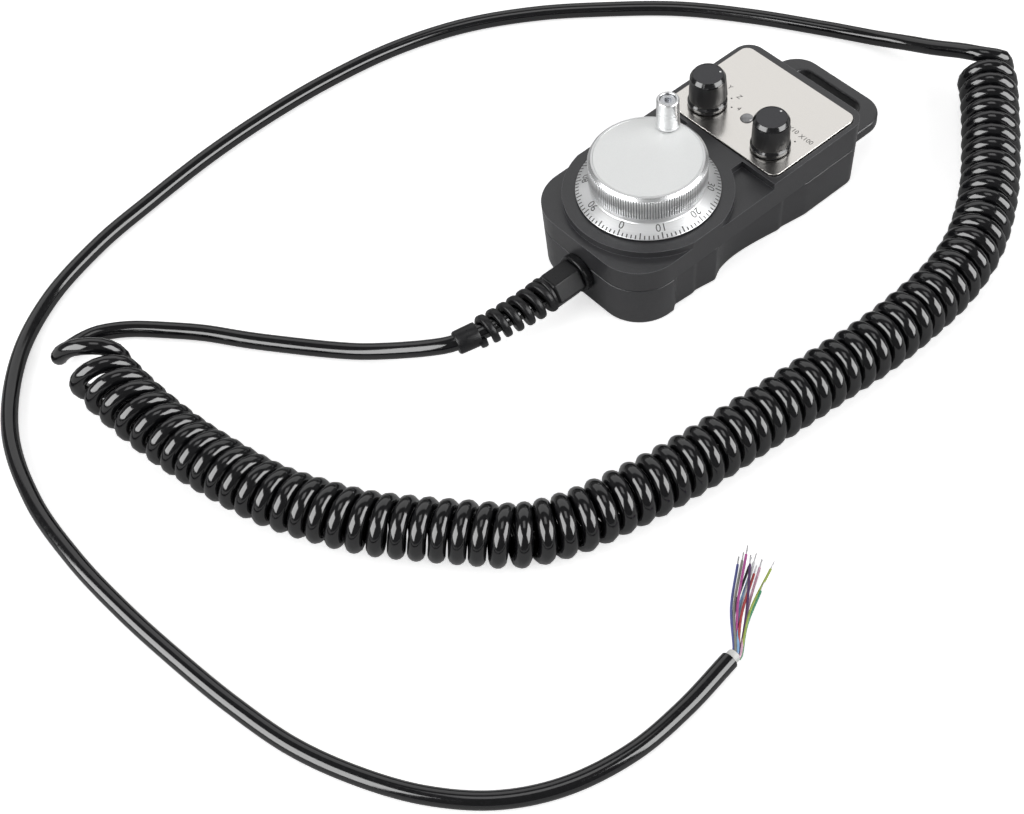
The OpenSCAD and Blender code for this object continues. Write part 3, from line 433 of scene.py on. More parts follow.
# Size of the built-in font for capitals of height 1
SIZE_TO_CAPITAL = 1.42


def lettering(text, height):
    """The flat outline of a word, centred on the origin, as (points, faces)."""
    curve = bpy.data.curves.new("word", "FONT")
    curve.body, curve.size = text, height * SIZE_TO_CAPITAL
    curve.align_x, curve.align_y = "CENTER", "CENTER"
    curve.resolution_u = 3
    holder = bpy.data.objects.new("word", curve)
    mesh = bpy.data.meshes.new_from_object(holder)
    points = [(v.co.x, v.co.y) for v in mesh.vertices]
    faces = [tuple(p.vertices) for p in mesh.polygons]
    middle = (min(y for _, y in points) + max(y for _, y in points)) / 2
    bpy.data.objects.remove(holder)
    bpy.data.curves.remove(curve)
    bpy.data.meshes.remove(mesh)
    return [(x, y - middle) for x, y in points], faces


# ---- finishes ----

# The stretch of the noise's values that the grain uses, and the smoothest it may get
GRAIN_LOW, GRAIN_HIGH = 0.3, 0.7
SMOOTHEST = 0.02


def add_node(tree, kind, sockets=None, **settings):
    """A shader node; each of its sockets takes a plain value or the output that feeds it."""
    made = tree.nodes.new(f"ShaderNode{kind}")
    for name, value in settings.items():
        setattr(made, name, value)
    for socket, value in (sockets or {}).items():
        if isinstance(value, bpy.types.NodeSocket):
            tree.links.new(value, made.inputs[socket])
        else:
            made.inputs[socket].default_value = value
    return made


def finish(name, base, metallic, roughness, **sockets):
    """A Principled material with its plain values set on its own sockets."""
    made = bpy.data.materials.new(name)
    made.use_nodes = True
    shader = made.node_tree.nodes["Principled BSDF"]
    shader.inputs["Base Color"].default_value = (*base, 1.0)
    shader.inputs["Metallic"].default_value = metallic
    shader.inputs["Roughness"].default_value = roughness
    by_name = {socket.name.lower(): socket for socket in shader.inputs}
    for socket, value in sockets.items():
        by_name[socket.replace("_", " ")].default_value = value
    return made


def grained(name, base, roughness, scale, metallic=0.0, stretch=(1, 1, 1), detail=4, tint=0.1,
            rough=0.08, bump=0.2, depth=0.05 * MM, centre=(0, 0, 0), rings=False, **sockets):
    """A material with a fine grain: a noise that moves its colour, roughness and surface.

    With rings, the noise depends on the distance from an upright axis, as on a turned face."""
    made = finish(name, base, metallic, roughness, **sockets)
    tree = made.node_tree
    shader = tree.nodes["Principled BSDF"]
    place = add_node(tree, "TexCoord").outputs["Object"]
    shift = add_node(tree, "Mapping", {"Vector": place, "Location": tuple(-c for c in centre)})
    source = shift.outputs["Vector"]
    if rings:
        flat = add_node(tree, "VectorMath", {0: source, 1: (1, 1, 0)}, operation="MULTIPLY")
        reach = add_node(tree, "VectorMath", {0: flat.outputs["Vector"]}, operation="LENGTH")
        split = add_node(tree, "SeparateXYZ", {"Vector": source})
        join = add_node(tree, "CombineXYZ", {"X": reach.outputs["Value"], "Y": split.outputs["Z"]})
        source = join.outputs["Vector"]
    spread = add_node(tree, "Mapping", {"Vector": source, "Scale": stretch})
    speckle = {"Vector": spread.outputs["Vector"], "Scale": scale, "Detail": detail}
    noise = add_node(tree, "TexNoise", speckle).outputs["Fac"]

    ramp = add_node(tree, "ValToRGB", {"Fac": noise})
    dark, pale = ramp.color_ramp.elements
    dark.position, pale.position = GRAIN_LOW, GRAIN_HIGH
    dark.color = (*[c * (1 - tint) for c in base], 1)
    pale.color = (*[min(1, c * (1 + tint)) for c in base], 1)
    tree.links.new(ramp.outputs["Color"], shader.inputs["Base Color"])

    gloss = add_node(tree, "MapRange", {
        "Value": noise, "From Min": GRAIN_LOW, "From Max": GRAIN_HIGH,
        "To Min": max(SMOOTHEST, roughness - rough), "To Max": min(1.0, roughness + rough),
    })
    tree.links.new(gloss.outputs["Result"], shader.inputs["Roughness"])

    raised = add_node(tree, "Bump", {"Height": noise, "Strength": bump, "Distance": depth})
    tree.links.new(raised.outputs["Normal"], shader.inputs["Normal"])
    return made


# How far a face's normal turns away at a rounded edge: where the painted edge highlight starts, and is
# full
EDGE_LIGHT_START, EDGE_LIGHT_FULL = 0.995, 0.9


def rubbed_edges(made, tone, radius, spared, spared_reach):
    """Painted highlight: edges made paler than the plastic, as if lit, but not those near one height."""
    tree = made.node_tree
    tint = tree.nodes["Principled BSDF"].inputs["Base Color"]
    rounded = add_node(tree, "Bevel", {"Radius": radius}).outputs["Normal"]
    flat = add_node(tree, "NewGeometry").outputs["Normal"]
    agree = add_node(tree, "VectorMath", {0: rounded, 1: flat}, operation="DOT_PRODUCT")
    lit_edge_range = {"Value": agree.outputs["Value"], "From Min": EDGE_LIGHT_START, "From Max": EDGE_LIGHT_FULL}
    share = add_node(tree, "MapRange", lit_edge_range).outputs["Result"]
    place = add_node(tree, "TexCoord").outputs["Object"]
    height = add_node(tree, "SeparateXYZ", {"Vector": place}).outputs["Z"]
    near = add_node(tree, "Math", {0: height, 1: spared, 2: spared_reach}, operation="COMPARE")
    kept = add_node(
        tree, "Math", {0: share, 1: near.outputs["Value"]}, operation="SUBTRACT", use_clamp=True,
    )
    # Painted highlight: the paler edge colour is mixed in where the bevel bends the normal
    mix = add_node(tree, "Mix", data_type="RGBA")
    tree.links.new(kept.outputs["Value"], mix.inputs["Factor"])
    plain, pale = [socket for socket in mix.inputs if socket.type == "RGBA"]
    tree.links.new(tint.links[0].from_socket, plain)
    pale.default_value = (*tone, 1)
    tree.links.new(next(out for out in mix.outputs if out.type == "RGBA"), tint)
    return made


# The moulded shells: how much paler their painted edge highlights are, how wide, and the seam's
# height, where the edges are sharp and get no painted highlight
EDGE_HIGHLIGHT_TONE, EDGE_HIGHLIGHT_WIDTH = 3.5, 0.45 * MM
SEAM_HEIGHT, SEAM_REACH = 21 * MM, 1.2 * MM


def moulded_plastic():
    """Black shell plastic with the fine spark-eroded grain of its mould, and painted edge highlights."""
    base = tuple(bpy.context.scene.pendant_case.plastic)
    made = grained(
        "moulded_plastic", base, 0.34, 1900, detail=3, tint=0.14, rough=0.06, bump=0.25,
        depth=0.04 * MM, specular_ior_level=0.6,
    )
    return rubbed_edges(made, [EDGE_HIGHLIGHT_TONE * c for c in base], EDGE_HIGHLIGHT_WIDTH, SEAM_HEIGHT, SEAM_REACH)


def turned_aluminium(name, roughness, bump, metallic, centre=(0, 0, 0)):
    """Satin aluminium with the fine rings that the lathe leaves."""
    base = tuple(bpy.context.scene.pendant_wheel.metal)
    return grained(
        name, base, roughness, 2600, metallic, detail=3, tint=0.03, rough=0.05, bump=bump,
        depth=0.003 * MM, centre=centre, rings=True,
    )


def knurled_aluminium():
    """Satin aluminium of the knurled band's crests."""
    return grained(
        "knurled_aluminium", (0.70, 0.705, 0.71), 0.42, 2600, 0.85, tint=0.06, depth=0.01 * MM,
    )


def groove_shade():
    """Painted shade: a darker grey on the floor of the knurl's grooves, where shade falls."""
    return grained("knurl_groove_shade", (0.30, 0.30, 0.305), 0.5, 2600, 0.7, depth=0.01 * MM)


def blasted_aluminium():
    """Matt, fine-blasted aluminium of the disc in the wheel's top."""
    return grained(
        "blasted_aluminium", (0.88, 0.89, 0.885), 0.6, 3200, 0.5, tint=0.03, rough=0.06, bump=0.3,
        depth=0.02 * MM,
    )


def brushed_steel():
    """Stainless sheet brushed across the panel."""
    return grained(
        "brushed_steel", (0.78, 0.755, 0.72), 0.2, 160, 1.0, stretch=(0.6, 22, 1), detail=5,
        tint=0.03, rough=0.05, bump=0.12, depth=0.006 * MM,
    )


def plated_steel():
    """Zinc-plated steel of the screws and nuts."""
    return grained("plated_steel", (0.55, 0.56, 0.58), 0.3, 1500, 1.0, tint=0.08, depth=0.02 * MM)


def dark_steel():
    """Painted shadow: steel darkened so the washer below the crank sleeve shows as a dark line at its
    foot.
    """
    return grained("dark_steel", (0.22, 0.22, 0.225), 0.35, 1500, 1.0, depth=0.02 * MM)


def bearing_steel():
    """Ground and polished steel."""
    return grained(
        "bearing_steel", (0.62, 0.63, 0.65), 0.18, 2400, 1.0, tint=0.05, rough=0.05, bump=0.15,
        depth=0.01 * MM, rings=True,
    )


def knob_plastic(name, roughness):
    """Black knob plastic with faint moulding marks."""
    base = tuple(bpy.context.scene.pendant_knobs.plastic)
    return grained(
        name, base, roughness, 1400, detail=3, tint=0.15, rough=0.04, bump=0.05,
        depth=0.01 * MM, specular_ior_level=0.8,
    )


def knob_inlay():
    """Satin grey disc let into a knob's top."""
    return grained(
        "knob_inlay", (0.036, 0.036, 0.041), 0.4, 1800, detail=3, rough=0.06, bump=0.25,
        depth=0.03 * MM,
    )


def cable_jacket():
    """Glossy polyurethane with the faint flow marks of its extrusion."""
    base = tuple(bpy.context.scene.pendant_cable.jacket)
    return grained(
        "cable_jacket", base, 0.12, 600, tint=0.2, rough=0.05, bump=0.12, depth=0.03 * MM,
        specular_ior_level=0.75,
    )


def nylon(name, roughness):
    """Black nylon of the gland and its bend relief."""
    return grained(
        name, (0.014, 0.014, 0.015), roughness, 1300, detail=3, tint=0.12, rough=0.07,
        bump=0.25, specular_ior_level=0.3,
    )


def soft_rubber():
    return grained("soft_rubber", (0.01, 0.01, 0.01), 0.7, 1500, tint=0.15)


def scale_ink():
    base = tuple(bpy.context.scene.pendant_wheel.ink)
    return grained("scale_ink", base, 0.6, 3000, tint=0.2, rough=0.1, bump=0.1)


def print_ink():
    return grained("print_ink", (0.14, 0.135, 0.13), 0.55, 3000, tint=0.2, rough=0.1, bump=0.1)


def white_paint():
    base = tuple(bpy.context.scene.pendant_knobs.dot)
    return grained("white_paint", base, 0.4, 2500, tint=0.04, bump=0.15)


def lamp_lens():
    """Clear-coated grey lens of the signal lamp."""
    return grained(
        "lamp_lens", (0.34, 0.34, 0.35), 0.22, 500, tint=0.08, rough=0.05, bump=0.05,
        coat_weight=0.5,
    )


def white_sheath():
    return grained(
        "white_sheath", (0.78, 0.78, 0.76), 0.5, 900, tint=0.06, rough=0.1, bump=0.4,
        depth=0.1 * MM,
    )


def wire_skin(name, tone):
    """Soft plastic of a wire, a little darker than its tone."""
    return grained(f"wire_{name}", [WIRE_TONE * c for c in tone], 0.33, 900, tint=0.08)


def tinned_copper():
    return grained("tinned_copper", (0.72, 0.72, 0.73), 0.34, 2200, 1.0, rough=0.1, bump=0.4)


def circuit_board():
    return grained("circuit_board", (0.03, 0.16, 0.07), 0.35, 900)


def switch_plastic():
    return grained("switch_plastic", (0.07, 0.13, 0.25), 0.45, 1200)


def inner_plastic():
    return grained("inner_plastic", (0.03, 0.03, 0.032), 0.5, 1500, tint=0.12)


def dress(node, made):
    """Gives a CAD node a finish."""
    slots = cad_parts[node].data.materials
    slots.clear()
    slots.append(made)


# ---- stage ----

# Studio lamps, in metres: how far towards the camera, aside and up each stands, and its size
SIDE_BOX_PLACE, SIDE_BOX_SIZE = (0.48, 0.96, 0.58), (1.1, 0.9)
BACK_PANEL_PLACE, BACK_PANEL_SIZE = (-1.25, 0, 1.0), (3.2, 1.15)
OVERHEAD_PLACE, OVERHEAD_SIZE = (0.1, 0, 1.6), (0.7, 0.7)
LAMP_TARGET = Vector((0, 0, 0.02))

# The boxes that only glossy faces see stand this much farther out, and are a little larger
SHINE_FARTHER, SHINE_SIZE = 1.04, (1.14, 0.94)

# The floor, in metres: its half side and how far it lies below the part. Its own glow grows to
# full white between two distances, and other surfaces see it duller than the camera does.
FLOOR_HALF, FLOOR_DROP = 6, 0.05 * MM
NEAR_GLOW, GLOW_STARTS, GLOW_FULL = 0.6, 0.8, 2.2
FLOOR_DULL = 0.7


def build_stage(settings):
    """The camera, the floor and the studio lamps."""
    bpy.context.scene.view_settings.view_transform = "Standard"
    back, level = add_camera()
    add_floor(tuple(settings.floor_colour))
    facing = Vector((back.x, back.y, 0)).normalized()

    def stand(place, side=1):
        return facing * place[0] + level * side * place[1] + UP * place[2]

    for side, name in ((-1, "left"), (1, "right")):
        place = stand(SIDE_BOX_PLACE, side)
        soft_box(f"box_{name}", place, SIDE_BOX_SIZE, settings.side_glow)
        shine = soft_box(f"shine_{name}", place * SHINE_FARTHER, SHINE_SIZE, settings.side_shine)
        shine.visible_diffuse = False
    soft_box("back_panel", stand(BACK_PANEL_PLACE), BACK_PANEL_SIZE, settings.back_glow)
    soft_box("overhead", stand(OVERHEAD_PLACE), OVERHEAD_SIZE, settings.top_glow)
    build_world(settings.world_light)


def add_camera():
    """The camera; returns the way back from what it looks at, and the level way across."""
    camera = new_object("camera", bpy.data.cameras.new("camera"))
    camera.data.lens, camera.data.sensor_width = VIEW_LENS, VIEW_SENSOR
    camera.data.clip_start, camera.data.clip_end = VIEW_NEAR, VIEW_FAR
    back = Vector((
        math.cos(VIEW_PITCH) * math.sin(VIEW_YAW),
        -math.cos(VIEW_PITCH) * math.cos(VIEW_YAW),
        math.sin(VIEW_PITCH),
    ))
    level = Vector((math.cos(VIEW_YAW), math.sin(VIEW_YAW), 0))
    upright = back.cross(level)
    right = level * math.cos(VIEW_ROLL) + upright * math.sin(VIEW_ROLL)
    up = upright * math.cos(VIEW_ROLL) - level * math.sin(VIEW_ROLL)
    turn = Matrix((right, up, back)).transposed().to_4x4()
    camera.matrix_world = Matrix.Translation(VIEW_PLACE) @ turn
    bpy.context.scene.camera = camera
    return back, level


def add_floor(base):
    """A wide white floor just below the part."""
    half = FLOOR_HALF
    mesh = bpy.data.meshes.new("floor")
    mesh.from_pydata(
        [(-half, -half, 0), (half, -half, 0), (half, half, 0), (-half, half, 0)], [], [(0, 1, 2, 3)],
    )
    mesh.materials.append(floor_finish(base))
    floor = new_object("floor", mesh)
    floor.location.z = -FLOOR_DROP


def soft_box(name, place, size, brightness):
    """A soft box that faces the part, with the brightness of its face."""
    lamp = bpy.data.lights.new(name, "AREA")
    lamp.shape, lamp.size, lamp.size_y = "RECTANGLE", size[0], size[1]
    lamp.energy = brightness * math.pi * size[0] * size[1]
    holder = new_object(name, lamp)
    holder.location = place
    holder.rotation_euler = (LAMP_TARGET - place).to_track_quat("-Z", "Y").to_euler()
    return holder


def empty_tree(owner):
    """The node tree of a material or a world, without its first nodes."""
    owner.use_nodes = True
    owner.node_tree.nodes.clear()
    return owner.node_tree


def seen_directly(tree):
    """1 for rays from the camera or through a clear part, and 0 for all others."""
    path = add_node(tree, "LightPath").outputs
    rays = {0: path["Is Camera Ray"], 1: path["Is Transmission Ray"]}
    return add_node(tree, "Math", rays, operation="MAXIMUM").outputs["Value"]


def floor_finish(base):
    """White floor that keeps its soft shadows near the part and stays white far from it."""
    made = bpy.data.materials.new("floor_white")
    tree = empty_tree(made)
    plain = add_node(tree, "BsdfDiffuse", {"Color": (*base, 1)})
    dull = add_node(tree, "BsdfDiffuse", {"Color": (*[FLOOR_DULL * c for c in base], 1)})
    where = add_node(tree, "NewGeometry").outputs["Position"]
    away = add_node(tree, "VectorMath", {0: where}, operation="LENGTH").outputs["Value"]
    reach = {"From Min": GLOW_STARTS, "From Max": GLOW_FULL, "To Min": NEAR_GLOW, "To Max": 1.0}
    fade = add_node(tree, "MapRange", {"Value": away, **reach})
    shine = add_node(tree, "Emission", {"Strength": fade.outputs["Result"]})
    lit = add_node(tree, "AddShader", {0: plain.outputs["BSDF"], 1: shine.outputs["Emission"]})
    mix = add_node(tree, "MixShader", {
        "Fac": seen_directly(tree), 1: dull.outputs["BSDF"], 2: lit.outputs["Shader"],
    })
    add_node(tree, "OutputMaterial", {"Surface": mix.outputs["Shader"]})
    return made


def build_world(strength):
    """Even light from all round, which shows as white behind the part."""
    world = bpy.data.worlds.new("studio")
    bpy.context.scene.world = world
    tree = empty_tree(world)
    white = (1, 1, 1, 1)
    light = add_node(tree, "Background", {"Color": white, "Strength": strength})
    shown = add_node(tree, "Background", {"Color": white, "Strength": 1.0})
    mix = add_node(tree, "MixShader", {
        "Fac": seen_directly(tree), 1: light.outputs["Background"], 2: shown.outputs["Background"],
    })
    add_node(tree, "OutputWorld", {"Surface": mix.outputs["Shader"]})


# ---- cable ----

# How far apart the points of the lead and the tail, of the coil's axis and of the wires are
CABLE_STEP, AXIS_STEP, WIRE_STEP = 3 * MM, 1 * MM, 1.2 * MM

# The coil: points on each turn, and points on either side that give its axis's direction; the
# turns at which it leaves the lead and meets the tail.
# Its first turns are stretched, so they lean back and are wider, and its last ones widen again.
COIL_STEPS, AXIS_SPAN = 20, 4
COIL_BEGIN, COIL_END = 0.27, 70.4
COIL_LEAN, START_LEAN, START_LEAN_TURNS = 0.7 * MM, 4 * MM, 8
START_SWELL, START_SWELL_TURNS = 1.8 * MM, 5
END_SWELL, END_SWELL_TURNS = 0.8 * MM, 2


def coil_place(wound):
    """How far along its axis the coil is after so many turns, in metres."""
    for (low, start), (high, stop) in zip(COIL_STRETCH, COIL_STRETCH[1:]):
        if wound <= high:
            break
    return (start + (stop - start) * (wound - low) / (high - low)) * MM


def coil_line(cable):
    """The coiled stretch: a left-handed helix, wound from the near side up over its curved axis."""
    axis = smooth_line([(x, y, cable.coil_diameter / 2) for x, y in COIL_AXIS], AXIS_STEP)
    pace = (axis[1] - axis[0]).length
    reach = (cable.coil_diameter - cable.diameter) / 2
    line = []
    for i in range(int((COIL_END - COIL_BEGIN) * COIL_STEPS) + 1):
        wound = COIL_BEGIN + i / COIL_STEPS
        turn = 2 * math.pi * wound
        lean = COIL_LEAN - START_LEAN * math.exp(-wound / START_LEAN_TURNS)
        swell = START_SWELL * math.exp(-wound / START_SWELL_TURNS)
        swell += END_SWELL * math.exp((wound - COIL_END) / END_SWELL_TURNS)
        place = (coil_place(wound) + lean * math.sin(turn)) / pace
        low = min(max(math.floor(place), 0), len(axis) - 2)
        here = axis[low].lerp(axis[low + 1], place - low)
        ahead = axis[min(low + AXIS_SPAN, len(axis) - 1)] - axis[max(low - AXIS_SPAN, 0)]
        side = ahead.cross(UP).normalized()
        outward = math.sin(turn) * side - math.cos(turn) * UP
        line.append(here + UP * swell + outward * (reach + swell))
    return line


def cable_line(cable):
    """The whole centreline, from inside the gland to the bare end."""
    coil = coil_line(cable)
    lead = smooth_line(LEAD_ROUTE + coil[:2], CABLE_STEP)
    lying = [(x, y, cable.diameter / 2) for x, y in TAIL_ROUTE]
    tail = smooth_line(coil[-2:] + TAIL_START + lying, CABLE_STEP)
    return lead[:-1] + coil[1:-2] + tail


def tube_curve(name, line, radius, skin, sides):
    """A round tube along a line, as one open curve that rides on the case."""
    curve = bpy.data.curves.new(name, "CURVE")
    curve.dimensions = "3D"
    spline = curve.splines.new("POLY")
    spline.points.add(len(line) - 1)
    for point, place in zip(spline.points, line):
        point.co = (*place, 1)
    spline.use_smooth = True
    curve.bevel_depth = radius
    curve.bevel_resolution = sides
    curve.use_fill_caps = True
    curve.materials.append(skin)
    made = new_object(name, curve)
    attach(made, "case")
    return made


# Wires at the bare end: name, colour, where each leaves the sheath (across and up, in radii of
# the sheath), how far its middle and its tip lie aside, and its reach, in millimetres
WIRES = [
    ("violet", (0.14, 0.16, 0.44), -0.62, 0.12, -2.2, -2.5, 42),
    ("grey", (0.32, 0.32, 0.28), -0.30, 0.30, -1.2, -1.0, 43),
    ("black", (0.024, 0.024, 0.03), -0.45, -0.18, -0.9, 1.9, 40),
    ("magenta", (0.52, 0.10, 0.36), -0.05, -0.24, 0.0, 0.3, 44),
    ("sky", (0.32, 0.56, 0.88), 0.10, 0.30, 0.6, 2.9, 41),
    ("white", (0.84, 0.84, 0.86), 0.20, -0.30, 1.3, 3.4, 43),
    ("red", (0.48, 0.06, 0.06), 0.05, 0.0, 1.9, 4.1, 37),
    ("plum", (0.10, 0.04, 0.14), 0.40, -0.24, 3.5, 2.2, 40),
    ("rose", (0.84, 0.52, 0.66), 0.60, 0.18, 3.6, 5.7, 42),
    ("lime", (0.40, 0.52, 0.10), 0.62, -0.06, 4.7, 9.8, 41),
    ("green", (0.06, 0.32, 0.16), 0.75, -0.18, 4.3, 7.4, 30),
]

# How much of its tone each wire keeps, how far the fan turns aside, the radii of the wires and
# their bare tips, where they leave the sheath and how far they run on straight; then the
# radii of the sheath, of its end and of the filler in it
WIRE_TONE = 0.9
WIRE_FAN = math.radians(30)
WIRE_RADIUS, TIP_RADIUS = 0.5 * MM, 0.3 * MM
WIRE_FOOT, WIRE_STRAIGHT = 2 * MM, 2.5 * MM
SHEATH_RADIUS, SHEATH_END_RADIUS, FILLER_RADIUS = 2.6 * MM, 2.418 * MM, 1.768 * MM


def build_cable(cable):
    """The jacket as one cord, with the pieces at its bare end."""
    line = cable_line(cable)
    cord = tube_curve("cable", line, cable.diameter / 2, cable_jacket(), 5)
    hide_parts("cable_lead", "cable_coil", "cable_tail")
    ahead = (line[-1] - line[-3]).normalized()
    on_cord = build_sheath(line[-1], ahead) + build_wires(line[-1], ahead)


def build_sheath(end, ahead):
    """The white inner sheath and its dark filler, where the jacket is cut back."""
    marks = (-1.0, 0.0, 1.2, 2.4, 3.0)
    radii = [SHEATH_RADIUS] * 4 + [SHEATH_END_RADIUS]
    verts, faces = sweep(places_along(end, ahead, marks), radii, 28)
    sheath = piece("cable_sheath", verts, faces, white_sheath())
    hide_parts("cable_core")
    verts, faces = sweep(places_along(end, ahead, (2.0, 3.15)), [FILLER_RADIUS] * 2, 28)
    filler = piece("cable_filler", verts, faces, soft_rubber())
    return [sheath, filler]


def build_wires(end, ahead):
    """The fanned wires, each with its bare tinned tip."""
    side = Vector((ahead.y, -ahead.x, 0))
    fan = Matrix.Rotation(WIRE_FAN, 3, "Z")
    run, aside = fan @ ahead * MM, fan @ side * MM
    tinned = tinned_copper()
    made = []
    for i, (name, tone, across, lift, bow, land, reach) in enumerate(WIRES):
        foot = end + ahead * WIRE_FOOT + (side * across + UP * lift) * SHEATH_RADIUS
        middle = end + run * reach * 0.5 + aside * bow
        tip = end + run * reach + aside * land
        # no two neighbours lie or bow at one height
        tip.z = (1.0 + 1.5 * (i % 4)) * MM
        middle.z = 0.6 * foot.z + 0.4 * tip.z + (1.6 - 0.7 * (i % 3)) * MM
        route = smooth_line([foot, foot + ahead * WIRE_STRAIGHT, middle, tip], WIRE_STEP)
        wire = tube_curve(f"wire_{name}", route, WIRE_RADIUS, wire_skin(name, tone), 3)
        on = (route[-1] - route[-3]).normalized()
        bare = places_along(route[-1], on, (-0.5, 1.2, 2.6, 4.0))
        strands = tube_curve(f"tip_{name}", bare, TIP_RADIUS, tinned, 2)
        made += [wire, strands]
    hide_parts("cable_wires")
    return made


# ---- case ----

# Millimetres from the wheel's axis to the ends of the finger bay, and the points along it
BAY_FROM, BAY_TO, BAY_STEPS = 9.0, 45.5, 14

# Rounding of the rear shell at its back and at the seam, and of the cover's edges
FOOT_ROUND, SEAM_ROUND, COVER_ROUND, EDGE_STEPS = 1.1 * MM, 0.35 * MM, 0.55 * MM, 5

# Recesses of the four case screws: how far in from the sides they sit, and their size
SCREW_INSET, RECESS_RADIUS, RECESS_DEPTH = 6.3 * MM, 2.95 * MM, 3 * MM

# The hanger loop: half widths of the loop and its slot, its two faces, and how far it
# reaches into the shell; then the gap between shell and slot, and the bar beyond the slot
LOOP_HALF, SLOT_HALF = 27.7 * MM, 18 * MM
LOOP_LOW, LOOP_HIGH, LOOP_ROOT = 13.3 * MM, 18.7 * MM, 3 * MM
SLOT_GAP, LOOP_BAR = 3.6 * MM, 5.7 * MM

# Near and far corners of the loop and of its slot, as (radius, steps), and the rounding of
# its edges
LOOP_CORNERS = (1 * MM, 14), (12 * MM, 14)
SLOT_CORNERS = (1.5 * MM, 10), (5 * MM, 10)
LOOP_ROUND = 1.1 * MM

# Floor of the pockets beside the neck, and of the strip round the wheel's end
DECK_HEIGHT = 32 * MM

# The panel plate: its corners, the rounding of its edges, and the gaps round it and below it
PLATE_CORNER, PLATE_ROUND, PLATE_GAP, PLATE_BED = 4 * MM, 0.18 * MM, 0.45 * MM, 0.3 * MM

# How far a cutter reaches past a face that it opens
PAST = 1 * MM


def side_profile(case):
    """Sides of the rear shell: (place along the case, depth below the flush side)."""
    step, bay = case.grip_step, case.grip_bay
    rim = step * 0.8
    saw = [(-17.5, 0), (-15, step), (-5.5, step * 0.63), (-3.5, step * 0.9), (6.5, step * 0.05)]
    hollow = [
        (
            BAY_FROM + (BAY_TO - BAY_FROM) * i / BAY_STEPS,
            rim + (bay - rim) * math.sin(math.pi * (i / BAY_STEPS) ** 0.7),
        )
        for i in range(BAY_STEPS + 1)
    ]
    rest = [(47.5, step), (58.5, step * 0.1), (60, 0)]
    corners = [(y * MM, depth) for y, depth in saw + hollow + rest]
    return soften(corners, 0.8 * MM)


def case_ring(case, z, inset, profile):
    """The case's outline at a height, moved in by an inset; its sides lean out for their height."""
    inset -= case.lean * z
    outline = rounded_box(
        case.half_width - inset, inset - case.near_end, case.far_end - inset,
        (case.near_radius - inset, 14), (case.far_radius - inset, 10), profile,
    )
    return [(x, y, z) for x, y in outline]


def edge_levels(low, high, low_round, high_round):
    """(height, inset) pairs from low to high with both edges rounded."""
    turns = [math.pi / 2 * i / EDGE_STEPS for i in range(EDGE_STEPS + 1)]
    foot = [(low + low_round * (1 - math.cos(a)), low_round * (1 - math.sin(a))) for a in turns]
    head = [(high - high_round * (1 - math.sin(a)), high_round * (1 - math.cos(a))) for a in turns]
    return foot + head


def build_case(case):
    """The two shells, which meet at the seal, and the hanger loop."""
    plastic = moulded_plastic()
    seal_low, seal_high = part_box("case_seal")
    profile = side_profile(case)

    rear = rear_shell(case, plastic, seal_low[2], profile)
    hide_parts("rear_case")

    loop = hanger_loop(case, plastic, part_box("rear_case")[1][1])

    cover = top_cover(case, plastic, seal_high[2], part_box("top_cover")[1][2], profile)
    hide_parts("top_cover")
    dress("case_seal", soft_rubber())
    dress("case_screws", plated_steel())


def rear_shell(case, plastic, seam, profile):
    """The rear shell with its grips, and with the screw recesses in its back."""
    rings = [
        case_ring(case, z, inset, profile)
        for z, inset in edge_levels(0.0, seam, FOOT_ROUND, SEAM_ROUND)
    ]
    rear = piece("rear_shell", *loft(rings), plastic, sharp_above=50)
    corner = (case.near_radius - SCREW_INSET) * math.sqrt(0.5)
    near = (case.half_width - case.near_radius + corner, case.near_radius - case.near_end - corner)
    far = (case.half_width - SCREW_INSET, case.far_end - SCREW_INSET)
    carve(rear, [
        drill(RECESS_RADIUS, -PAST, RECESS_DEPTH, (side * x, y), 32)
        for side in (-1, 1) for x, y in (near, far)
    ])
    return rear


def hanger_loop(case, plastic, reach):
    """The flat loop at the far end, with its slot."""
    start, stop = case.far_end - LOOP_ROOT, case.far_end + SLOT_GAP
    outer = rounded_box(LOOP_HALF, start, reach, *LOOP_CORNERS)
    inner = rounded_box(SLOT_HALF, stop, reach - LOOP_BAR, *SLOT_CORNERS)
    loop = piece("hanger_loop", *prism(outer, LOOP_LOW, LOOP_HIGH), plastic)
    carve(loop, [prism(inner, LOOP_LOW - PAST, LOOP_HIGH + PAST)])
    soft_edges(loop, LOOP_ROUND, 4)
    return loop


def top_cover(case, plastic, low, high, profile):
    """The cover: a block, cut down to its deck round the ring pad and beside the neck."""
    straight = [(along, 0.0) for along, _ in (profile[0], profile[-1])]
    rings = [case_ring(case, z, 0.0, straight) for z in (low, high)]
    cover = piece("cover_shell", *loft(rings), plastic)
    wide = 2 * case.half_width
    above = high + PAST

    neck = case.neck_width / 2
    meet = math.degrees(math.acos(neck / case.pad_radius))
    edge = arc((0, 0), case.pad_radius, meet, 0, 40)
    pocket = [(neck, case.panel_start)] + edge + [(wide, 0.0), (wide, case.panel_start)]
    away = [prism([(side * x, y) for x, y in pocket], DECK_HEIGHT, above) for side in (-1, 1)]

    outer = -2 * case.near_end
    half_pad = arc((0, 0), case.pad_radius, 0, -180, 96)
    strip = half_pad + [(-wide, 0.0), (-wide, outer), (wide, outer), (wide, 0.0)]
    away.append(prism(strip, DECK_HEIGHT, above))

    plate_low, plate_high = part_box("panel_plate")
    corner = (PLATE_CORNER + PLATE_GAP, 10)
    recess = rounded_box(
        plate_high[0] + PLATE_GAP, plate_low[1] - PLATE_GAP, plate_high[1] + PLATE_GAP,
        corner, corner,
    )
    away.append(prism(recess, plate_low[2] - PLATE_BED, above))
    carve(cover, away)
    soft_edges(cover, COVER_ROUND, 3, 32)
    return cover


# ---- panel ----

# Printed marks of the switches: each word, and its angle in degrees from straight ahead
LEGENDS = {
    "axis_knob": (("OFF", 60), ("X", 30), ("Y", 0), ("Z", -30), ("4", -60)),
    "multiplier_knob": (("X1", 30), ("X10", 0), ("X100", -30)),
}

